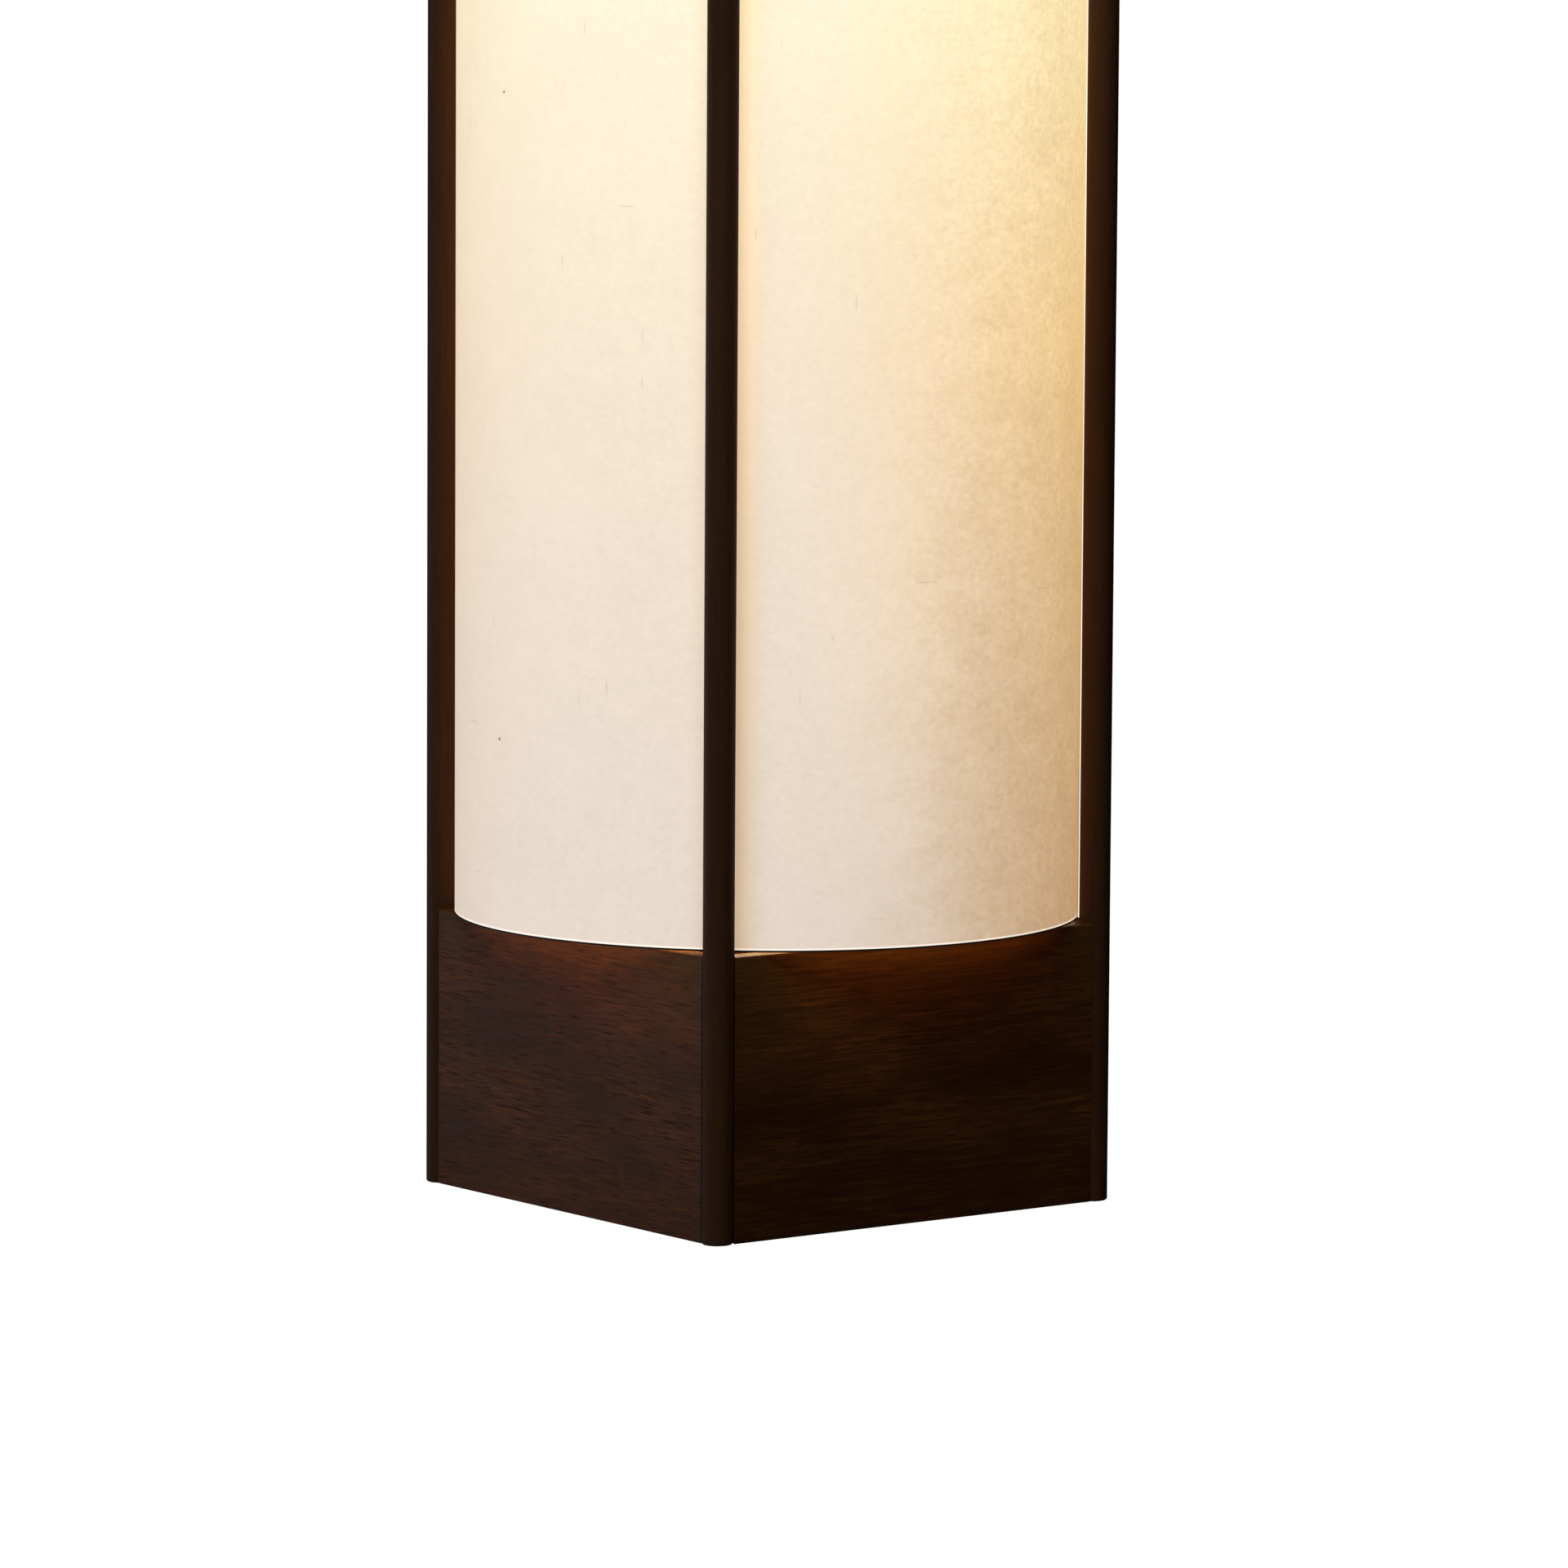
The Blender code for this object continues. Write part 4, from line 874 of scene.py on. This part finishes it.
class LANTERN_OT_shade(bpy.types.Operator):
    """One parchment sheet rolled into a tube and lapped at the back"""

    bl_idname = "lantern.shade"
    bl_label = "Shade"

    def execute(self, context):
        sizes = context.scene.lantern_sizes
        wall = sizes.paper_thickness
        middle = PAPER_HIGH.x - wall / 2
        lap = sizes.paper_lap / middle
        ramp = SEAM_RAMP / middle
        lift = wall + GAP
        start = math.pi / 2 - lap / 2

        def corner(angle):
            climb = min(max((angle - math.tau + ramp) / ramp, 0.0), 1.0)
            radius = middle + lift * climb * climb * (3.0 - 2.0 * climb)
            return Vector((radius * math.cos(start + angle), radius * math.sin(start + angle), 0.0))

        levels = [PAPER_LOW.z + (PAPER_HIGH.z - PAPER_LOW.z) * i / 16 for i in range(17)]
        sheet = draw("paper_shade", [(*corner(0.0).xy, level) for level in levels])
        bpy.ops.mesh.select_all(action="SELECT")
        even = math.tau - ramp
        bpy.ops.mesh.spin(
            steps=PAPER_STEPS, angle=even, center=(0.0, 0.0, 0.0), axis=(0.0, 0.0, -1.0), use_auto_merge=False
        )
        for i in range(SEAM_STEPS):
            here, there = (even + (ramp + lap) * j / SEAM_STEPS for j in (i, i + 1))
            bpy.ops.mesh.extrude_region_move(TRANSFORM_OT_translate={"value": corner(there) - corner(here)})
        bpy.ops.mesh.select_all(action="SELECT")
        bpy.ops.mesh.normals_make_consistent(inside=False)
        bpy.ops.object.mode_set(mode="OBJECT")
        modify(sheet, "SOLIDIFY", thickness=wall, offset=0.0, use_even_offset=True)
        place(sheet, "parchment", "shade_sheet")
        return {"FINISHED"}


class LANTERN_OT_wires(bpy.types.Operator):
    """Wire ring in the shade's foot, and a spider of a ring, four spokes and a hub plate in its head"""

    bl_idname = "lantern.wires"
    bl_label = "Wires"

    def execute(self, context):
        half = context.scene.lantern_sizes.wire_diameter / 2
        foot_level = (FOOT_RING_LOW.z + FOOT_RING_HIGH.z) / 2
        foot = self.wire_ring("foot_ring", FOOT_RING_HIGH.x - half, half, foot_level)
        place(foot, "zinc", "shade_bottom_ring")

        level = (SPIDER_LOW.z + SPIDER_HIGH.z) / 2
        circle = SPIDER_HIGH.x - half
        spider = self.wire_ring("spider", circle, half, level)
        carve(spider, self.hub_and_spokes(circle, half, level), "UNION", crossing=True)
        place(spider, "zinc", "shade_spider")
        return {"FINISHED"}

    def hub_and_spokes(self, circle, half, level):
        """Hub plate, spokes and welds as one shape that crosses itself.

        The spokes and welds are rolled a little, so that their facets keep off those of the rings.
        """
        inside, outside = RING_HIGH.x - CLAMP_REACH, RING_HIGH.x + GAP + SPOKE_LAP
        low, high = level - HUB_THICKNESS / 2, level + HUB_THICKNESS / 2
        plate = [(outside, low), (outside, high), (inside, high), (inside, low)]
        hub = turned("hub", eased(plate, 0.3 * MM))
        parts = [hub]
        lying = Matrix.Rotation(FACET_ROLL, 3, "X") @ Matrix.Rotation(math.pi / 2, 3, "Y")
        start = outside - SPOKE_LAP
        welds = ((circle - 0.5 * MM, 1.9 * MM), (outside - 1.0 * MM, 1.8 * MM))
        for number in range(4):
            turn = math.pi / 2 * number
            way = Vector((math.cos(turn), math.sin(turn)))
            clear_selection()
            bpy.ops.mesh.primitive_cylinder_add(
                vertices=WIRE_SIDES,
                radius=half,
                depth=circle - start,
                location=(*(way * (start + circle) / 2), level),
                rotation=(Matrix.Rotation(turn, 3, "Z") @ lying).to_euler(),
            )
            parts.append(named("spoke"))
            for distance, size in welds:
                clear_selection()
                bpy.ops.mesh.primitive_uv_sphere_add(
                    segments=20,
                    ring_count=12,
                    radius=size,
                    location=(*(way * distance), level),
                    rotation=(3 * FACET_ROLL, 2 * FACET_ROLL, turn + FACET_ROLL),
                )
                parts.append(named("weld"))
        take(hub)
        for part in parts:
            part.select_set(True)
        bpy.ops.object.join()
        return hub

    def wire_ring(self, name, circle, half, level):
        """A round wire bent into a ring."""
        outline = arc((circle, level), half, 0, 360 - 360 / WIRE_SIDES, WIRE_SIDES - 1)
        return turned(name, outline, WIRE_STEPS)


def hexagon(name, across, low, high):
    """A hexagonal block with chamfered corners."""
    corner = across / math.sqrt(3)
    piece = rod(name, corner, low, high, 6)
    flat = across / 2 * 0.985
    fall = (corner - flat) * math.tan(math.radians(30))
    outline = [(0.0, high), (flat, high), (corner, high - fall)]
    outline += [(corner, low + fall), (flat, low), (0.0, low)]
    carve(piece, turned("chamfer", outline, closed=False), "INTERSECT")
    return piece


class LANTERN_OT_stem(bpy.types.Operator):
    """Threaded tube through the top board, with a washer and a nut on either side"""

    bl_idname = "lantern.stem"
    bl_label = "Stem"

    def execute(self, context):
        pitch = context.scene.lantern_sizes.stem_thread_pitch
        radius, low, high = STEM_HIGH.x, STEM_LOW.z, STEM_HIGH.z
        bore, depth = 4 * MM, 0.45 * MM
        count = round((high - low) / pitch * 6)
        outline = rows((radius, low), (radius, high), count)
        outline += [(radius, high), (bore, high), (bore, low)]
        stem = turned("threaded_stem", outline, STEM_STEPS)
        ridged(stem, depth, threaded(pitch), radius - depth / 2, low + pitch, high - pitch, pitch)
        place(stem, "zinc", "hanging_stem", smooth=THREADED_SMOOTH)

        hole = radius + GAP
        for row in ("upper", "lower"):
            low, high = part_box(f"{row}_washer")
            outline = [(high.x, low.z), (high.x, high.z), (hole, high.z), (hole, low.z)]
            washer = turned(f"plain_washer_{row}", eased(outline, 0.35 * MM))
            place(washer, "zinc", f"{row}_washer")
            low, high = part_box(f"{row}_stem_nut")
            across = min(high.x - low.x, high.y - low.y)
            nut = hexagon(f"lock_nut_{row}", across, low.z, high.z)
            carve(nut, rod("bore", hole, low.z - CUT_MARGIN, high.z + CUT_MARGIN))
            place(nut, "zinc", f"{row}_stem_nut")
        return {"FINISHED"}


class LANTERN_OT_gland(bpy.types.Operator):
    """Cord gland on the stem: a hexagonal body, a rubber seal and a fluted domed nut"""

    bl_idname = "lantern.gland"
    bl_label = "Cord gland"

    def execute(self, context):
        flutes = context.scene.lantern_sizes.gland_flutes
        base, top = GLAND_BODY_LOW.z, GLAND_BODY_HIGH.z
        across = min(GLAND_BODY_HIGH.x - GLAND_BODY_LOW.x, GLAND_BODY_HIGH.y - GLAND_BODY_LOW.y)
        shoulder = GLAND_NUT_LOW.z - GAP
        body = hexagon("gland_hexagon", across, base, shoulder)
        seal_low, seal_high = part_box("gland_seal")
        pocket = seal_high.x + GAP
        spigot = pocket + 1.4 * MM
        cord = CORD_RADIUS
        carve(body, rod("spigot", spigot, (base + shoulder) / 2, top, ROUND_STEPS), "UNION")
        bore, web_low, web_high = STEM_HIGH.x + GAP, STEM_HIGH.z + GAP, seal_low.z - GAP
        above, below = top + CUT_MARGIN, base - CUT_MARGIN
        hollow = [(0.0, above), (pocket, above), (pocket, web_high), (cord, web_high)]
        hollow += [(cord, web_low), (bore, web_low), (bore, below), (0.0, below)]
        carve(body, turned("hollow", hollow, HOLE_STEPS, closed=False))
        place(body, "brass", "gland_body")
        place(self.nut(flutes, spigot + GAP), "brass", "gland_nut", smooth=FLUTED_SMOOTH)
        refinish("gland_seal", "rubber")
        return {"FINISHED"}

    def nut(self, flutes, inside):
        """Domed nut with flutes, and a rounded mouth for the cord."""
        low, high, outside = GLAND_NUT_LOW.z, GLAND_NUT_HIGH.z, GLAND_NUT_HIGH.x
        dome, mouth, roof = 3 * MM, 0.6 * MM, high - 1.9 * MM
        outline = [(outside - 0.5 * MM, low)] + rows((outside, low + 0.6 * MM), (outside, high - dome), 12)
        outline += arc((outside - dome, high - dome), dome, 0, 90, 10)
        outline += arc((CORD_RADIUS + mouth, high - mouth), mouth, 90, 180, 4)
        outline += [(CORD_RADIUS, roof), (inside, roof), (inside, low)]
        nut = turned("gland_cap", outline, FLUTED_STEPS)

        def waves(angle, level):
            return 0.5 + 0.5 * math.cos(flutes * angle)

        return ridged(nut, 0.4 * MM, waves, inside + 0.3 * MM, low + MM, high - dome - MM, MM)


class LANTERN_OT_lampholder(bpy.types.Operator):
    """Moulded lampholder: barrel, domed cap and the fluted ring that clamps the shade"""

    bl_idname = "lantern.lampholder"
    bl_label = "Lampholder"

    def execute(self, context):
        flutes = context.scene.lantern_sizes.holder_flutes
        place(self.barrel(), "black_resin", "holder_body")
        place(self.cap(flutes), "black_resin", "holder_cap", smooth=FLUTED_SMOOTH)
        place(self.ring(flutes), "black_resin", "holder_shade_ring", smooth=FLUTED_SMOOTH)
        refinish("holder_contact_block", "ceramic")
        for part in ("centre_contact", "screw_shell"):
            refinish("holder_" + part, "brass")
        for side in ("left", "right"):
            refinish("holder_terminal_screw_" + side, "zinc")
        return {"FINISHED"}

    def barrel(self):
        """Barrel with a seat for the hub plate, a threaded skirt and a ledge inside."""
        clamp = HOLDER_HIGH.x
        seat = RING_HIGH.z + HUB_THICKNESS + 2 * GAP
        step = CAP_LOW.z - GAP
        low, top = HOLDER_LOW.z, HOLDER_HIGH.z
        inside = clamp - 8.7 * MM
        outside = inside + 4.5 * MM
        spigot = inside + GAP + 2 * MM
        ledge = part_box("holder_screw_shell")[1].z + GAP
        outline = [(spigot, top), (spigot, step), (outside, step), (outside, seat + 3 * MM)]
        outline += [(clamp, seat + 3 * MM), (clamp, seat), (outside, seat)]
        outline += rows((outside, seat - 2 * MM), (outside, low + MM), 60)
        outline += [(outside - 0.5 * MM, low), (inside, low), (inside, ledge), (inside - 3 * MM, ledge)]
        outline += [(inside - 3 * MM, ledge + 2 * MM), (inside + GAP, ledge + 2 * MM), (inside + GAP, top)]
        barrel = turned("holder_barrel", outline)
        start, end = low + 2 * MM, seat - 3 * MM
        return ridged(barrel, 0.5 * MM, threaded(2.5 * MM), outside - 0.2 * MM, start, end, MM, ceiling=seat)

    def cap(self, flutes):
        """Domed cap with a fluted skirt, screwed on the stem."""
        low, top, outside = CAP_LOW.z, CAP_HIGH.z, CAP_HIGH.x
        wall, hole, neck = 2.5 * MM, STEM_HIGH.x + GAP, 8 * MM
        inside, skirt, rise = outside - wall, low + 9 * MM, 13 * MM

        def bow(start, end, level):
            shares = [i / 14 for i in range(15)]
            wide = [start + (end - start) * (1 - math.cos(share * math.pi / 2)) for share in shares]
            return [(radius, level + rise * share) for radius, share in zip(wide, shares)]

        outline = [(outside - 0.6 * MM, low)] + rows((outside, low + 0.6 * MM), (outside, skirt), 10)
        outline += bow(outside, neck, skirt)
        outline += rows((neck, skirt + rise + 0.4 * MM), (neck, top - 0.5 * MM), 3)
        outline += [(neck, top - 0.5 * MM), (neck - 0.5 * MM, top), (hole, top)]
        outline += bow(inside, hole, skirt - wall)[::-1] + [(inside, low)]
        cap = turned("holder_dome", outline, FLUTED_STEPS)
        start, end = low + 1.6 * MM, skirt - 1.6 * MM
        return ridged(cap, 0.55 * MM, fluted(flutes), inside + 0.5 * MM, start, end, 0.8 * MM, ceiling=skirt)

    def ring(self, flutes):
        """Ring that screws on the barrel's skirt: a clamping flange above a fluted waist."""
        low, top, flange = RING_LOW.z, RING_HIGH.z, RING_HIGH.x
        inside = flange - CLAMP_REACH
        waist = inside + 2.5 * MM
        outline = [(flange - 0.4 * MM, top), (flange, top - 0.4 * MM), (flange, top - 2.6 * MM)]
        outline += [(flange - 0.4 * MM, top - 3 * MM)]
        outline += rows((waist, top - 3 * MM), (waist, low + 0.5 * MM), 8) + [(waist, low + 0.5 * MM)]
        outline += [(waist - 0.5 * MM, low), (inside, low), (inside, top)]
        ring = turned("shade_clamp_ring", outline, FLUTED_STEPS)
        start, end, ceiling = low + 1.2 * MM, top - 4.5 * MM, top - 3.5 * MM
        return ridged(ring, 0.6 * MM, fluted(flutes), inside + MM, start, end, 0.8 * MM, ceiling)


class LANTERN_OT_bulb(bpy.types.Operator):
    """Screw-in bulb: opal globe, tapered housing and a cap with a round thread"""

    bl_idname = "lantern.bulb"
    bl_label = "Bulb"

    def execute(self, context):
        pitch = context.scene.lantern_sizes.bulb_thread_pitch
        rise = GLOBE_HIGH.z - GLOBE_LEVEL
        inner = GLOBE_RADIUS - 1.5 * MM
        inner_end, outer_end = (math.degrees(math.asin(rise / radius)) for radius in (inner, GLOBE_RADIUS))
        outline = arc((0.0, GLOBE_LEVEL), inner, -90, inner_end, 28)
        outline += arc((0.0, GLOBE_LEVEL), GLOBE_RADIUS, outer_end, -90, 28)
        globe = turned("opal_globe", outline, closed=False)
        globe.visible_shadow = False
        place(globe, "opal", "bulb_globe", BULB)
        place(self.housing(), "white_resin", "bulb_housing", BULB)
        place(self.cap(pitch), "zinc", "bulb_cap", BULB, THREADED_SMOOTH)
        refinish("bulb_insulator", "black_resin")
        refinish("bulb_tip", "zinc")
        return {"FINISHED"}

    def housing(self):
        """Tapered housing with a fine groove under the cap and one above the globe."""
        top = BULB_CAP_LOW.z - GAP
        rim, foot = HOUSING_HIGH.x, GLOBE_HIGH.z + GAP
        neck = BULB_CAP_HIGH.x
        plug = neck - 0.8 * MM - GAP
        lip = rim - 1.5 * MM - 2 * GAP
        outline = [(0.0, HOUSING_HIGH.z), (plug, HOUSING_HIGH.z), (plug, top)]
        for i in range(37):
            share = i / 36
            wide = neck + (rim - neck) * share * share * (3 - 2 * share)
            groove = 0.45 * MM if i in (3, 33) else 0.0
            outline.append((wide - groove, top + (foot - top) * share))
        outline += [(lip, foot), (lip, HOUSING_LOW.z), (0.0, HOUSING_LOW.z)]
        return turned("bulb_body", outline, closed=False)

    def cap(self, pitch):
        """Thin metal cap with a rolled thread."""
        low, top, outside = BULB_CAP_LOW.z, BULB_CAP_HIGH.z, BULB_CAP_HIGH.x
        wall, shoulder, wide = 0.8 * MM, top - 3 * MM, 8.5 * MM
        mouth = wide - 3 * MM + GAP
        inside = outside - wall
        outline = rows((outside, low), (outside, shoulder), 60)
        outline += [(outside, shoulder), (wide, top), (mouth, top), (mouth, top - wall)]
        outline += [(wide - wall, top - wall), (inside, shoulder - wall), (inside, low)]
        cap = turned("screw_cap", outline, BULB_CAP_STEPS)
        start, end = low + 2 * MM, shoulder - 0.5 * MM
        return ridged(cap, 0.6 * MM, threaded(pitch), inside + wall / 2, start, end, MM, ceiling=shoulder)


class LANTERN_OT_stage(bpy.types.Operator):
    """Camera, pale floor and soft studio light"""

    bl_idname = "lantern.stage"
    bl_label = "Stage"

    def execute(self, context):
        stage = context.scene.lantern_stage
        self.camera(context, stage)
        self.floor(stage)
        self.world(context.scene, stage)
        for light, spot in SOFT_LIGHTS.items():
            self.soft_light(light + "_light", spot, getattr(stage, light + "_power"))
        clear_selection()
        bpy.ops.object.light_add(type="POINT", location=(0.0, 0.0, GLOBE_LEVEL))
        lamp = context.object
        lamp.name = "lamp_light"
        lamp.data.energy = stage.lamp_power
        lamp.data.color = context.scene.lantern_colours.lamp
        lamp.data.shadow_soft_size = 0.025
        context.scene.view_settings.view_transform = "Standard"
        context.scene.view_settings.look = "None"
        return {"FINISHED"}

    def camera(self, context, stage):
        """Camera of the photograph: at the front left, level with the shade and looking slightly down."""
        yaw, pitch, roll = (math.radians(angle) for angle in CAMERA_TURN)
        ahead = Vector((math.sin(yaw) * math.cos(pitch), math.cos(yaw) * math.cos(pitch), math.sin(pitch)))
        right = Vector((math.cos(yaw), -math.sin(yaw), 0.0))
        up = right.cross(ahead)
        turned_right = right * math.cos(roll) + up * math.sin(roll)
        turned_up = up * math.cos(roll) - right * math.sin(roll)
        clear_selection()
        bpy.ops.object.camera_add()
        camera = context.object
        camera.name = "photo_camera"
        turn = Matrix((turned_right, turned_up, -ahead)).transposed().to_4x4()
        x, y, height = CAMERA_SPOT
        camera.matrix_world = Matrix.Translation((x, y, POST_LOW.z + height)) @ turn
        camera.data.sensor_width = 36.0
        camera.data.lens = stage.lens
        camera.data.clip_end = 200.0
        context.scene.camera = camera

    def floor(self, stage):
        """A wide pale floor, well below the lantern."""
        clear_selection()
        level = POST_LOW.z - stage.floor_drop
        spot = (0.0, 0.0, level)
        bpy.ops.mesh.primitive_circle_add(vertices=128, radius=60.0, fill_type="NGON", location=spot)
        floor = named("floor")
        material = bpy.data.materials.new("pale_floor")
        material.use_nodes = True
        tree = material.node_tree
        shader = tree.nodes["Principled BSDF"]
        shader.inputs["Base Color"].default_value = (0.2, 0.2, 0.2, 1.0)
        shader.inputs["Roughness"].default_value = 0.9
        seen = tree.nodes.new("ShaderNodeEmission")
        seen.inputs["Strength"].default_value = WHITE
        self.part_sight(tree, shader, seen, "Material Output")
        floor.data.materials.append(material)

    def world(self, scene, stage):
        """White surroundings for the camera, and a dim even light for the lantern."""
        world = bpy.data.worlds.new("white_room")
        scene.world = world
        world.use_nodes = True
        tree = world.node_tree
        dim = tree.nodes["Background"]
        dim.inputs["Strength"].default_value = stage.ambient
        white = tree.nodes.new("ShaderNodeBackground")
        white.inputs["Color"].default_value = (1.0, 1.0, 1.0, 1.0)
        white.inputs["Strength"].default_value = WHITE
        dim.inputs["Color"].default_value = (1.0, 1.0, 1.0, 1.0)
        self.part_sight(tree, dim, white, "World Output")

    def part_sight(self, tree, lighting, seen, output):
        """Shows the camera one shader, and lights the lantern with another."""
        path = tree.nodes.new("ShaderNodeLightPath")
        blend = tree.nodes.new("ShaderNodeMixShader")
        links = (
            (path.outputs["Is Camera Ray"], blend.inputs[0]),
            (lighting.outputs[0], blend.inputs[1]),
            (seen.outputs[0], blend.inputs[2]),
            (blend.outputs[0], tree.nodes[output].inputs["Surface"]),
        )
        for source, socket in links:
            tree.links.new(source, socket)

    def soft_light(self, name, spot, power):
        """A square soft light that faces the lantern's lower half."""
        stage = bpy.context.scene.lantern_stage
        clear_selection()
        bpy.ops.object.light_add(type="AREA", location=spot)
        light = bpy.context.object
        light.name = name
        aim = Vector((0.0, 0.0, -stage.aim_drop)) - light.location
        light.rotation_euler = aim.to_track_quat("-Z", "Y").to_euler()
        light.data.shape = "SQUARE"
        light.data.size = stage.light_size
        light.data.energy = power
        light.data.color = bpy.context.scene.lantern_colours.daylight


class LANTERN_PT_pieces(bpy.types.Panel):
    """Lists what makes the lantern"""

    bl_idname = "LANTERN_PT_pieces"
    bl_label = "Hanging lantern"
    bl_space_type = "VIEW_3D"
    bl_region_type = "UI"
    bl_category = "Lantern"

    def draw(self, context):
        layout = self.layout
        for operator in OPERATORS:
            layout.operator(operator.bl_idname)
        scene = context.scene
        for group in (scene.lantern_sizes, scene.lantern_colours, scene.lantern_stage):
            box = layout.box()
            for key in group.bl_rna.properties.keys():
                if key not in ("name", "rna_type"):
                    box.prop(group, key)


OPERATORS = (
    LANTERN_OT_stage,
    LANTERN_OT_posts,
    LANTERN_OT_panels,
    LANTERN_OT_top_board,
    LANTERN_OT_shade,
    LANTERN_OT_wires,
    LANTERN_OT_stem,
    LANTERN_OT_gland,
    LANTERN_OT_lampholder,
    LANTERN_OT_bulb,
)
GROUPS = (LanternSizes, LanternColours, LanternStage)


def register():
    for item in (*GROUPS, *OPERATORS, LANTERN_PT_pieces):
        bpy.utils.register_class(item)
    bpy.types.Scene.lantern_sizes = PointerProperty(type=LanternSizes)
    bpy.types.Scene.lantern_colours = PointerProperty(type=LanternColours)
    bpy.types.Scene.lantern_stage = PointerProperty(type=LanternStage)


def unregister():
    del bpy.types.Scene.lantern_stage
    del bpy.types.Scene.lantern_colours
    del bpy.types.Scene.lantern_sizes
    for item in reversed((*GROUPS, *OPERATORS, LANTERN_PT_pieces)):
        bpy.utils.unregister_class(item)


def main():
    register()
    bpy.ops.lantern.stage()
    bpy.ops.lantern.posts()
    bpy.ops.lantern.panels()
    bpy.ops.lantern.top_board()
    bpy.ops.lantern.shade()
    bpy.ops.lantern.wires()
    bpy.ops.lantern.stem()
    bpy.ops.lantern.gland()
    bpy.ops.lantern.lampholder()
    bpy.ops.lantern.bulb()
    clear_selection()


if __name__ == "__main__":
    main()
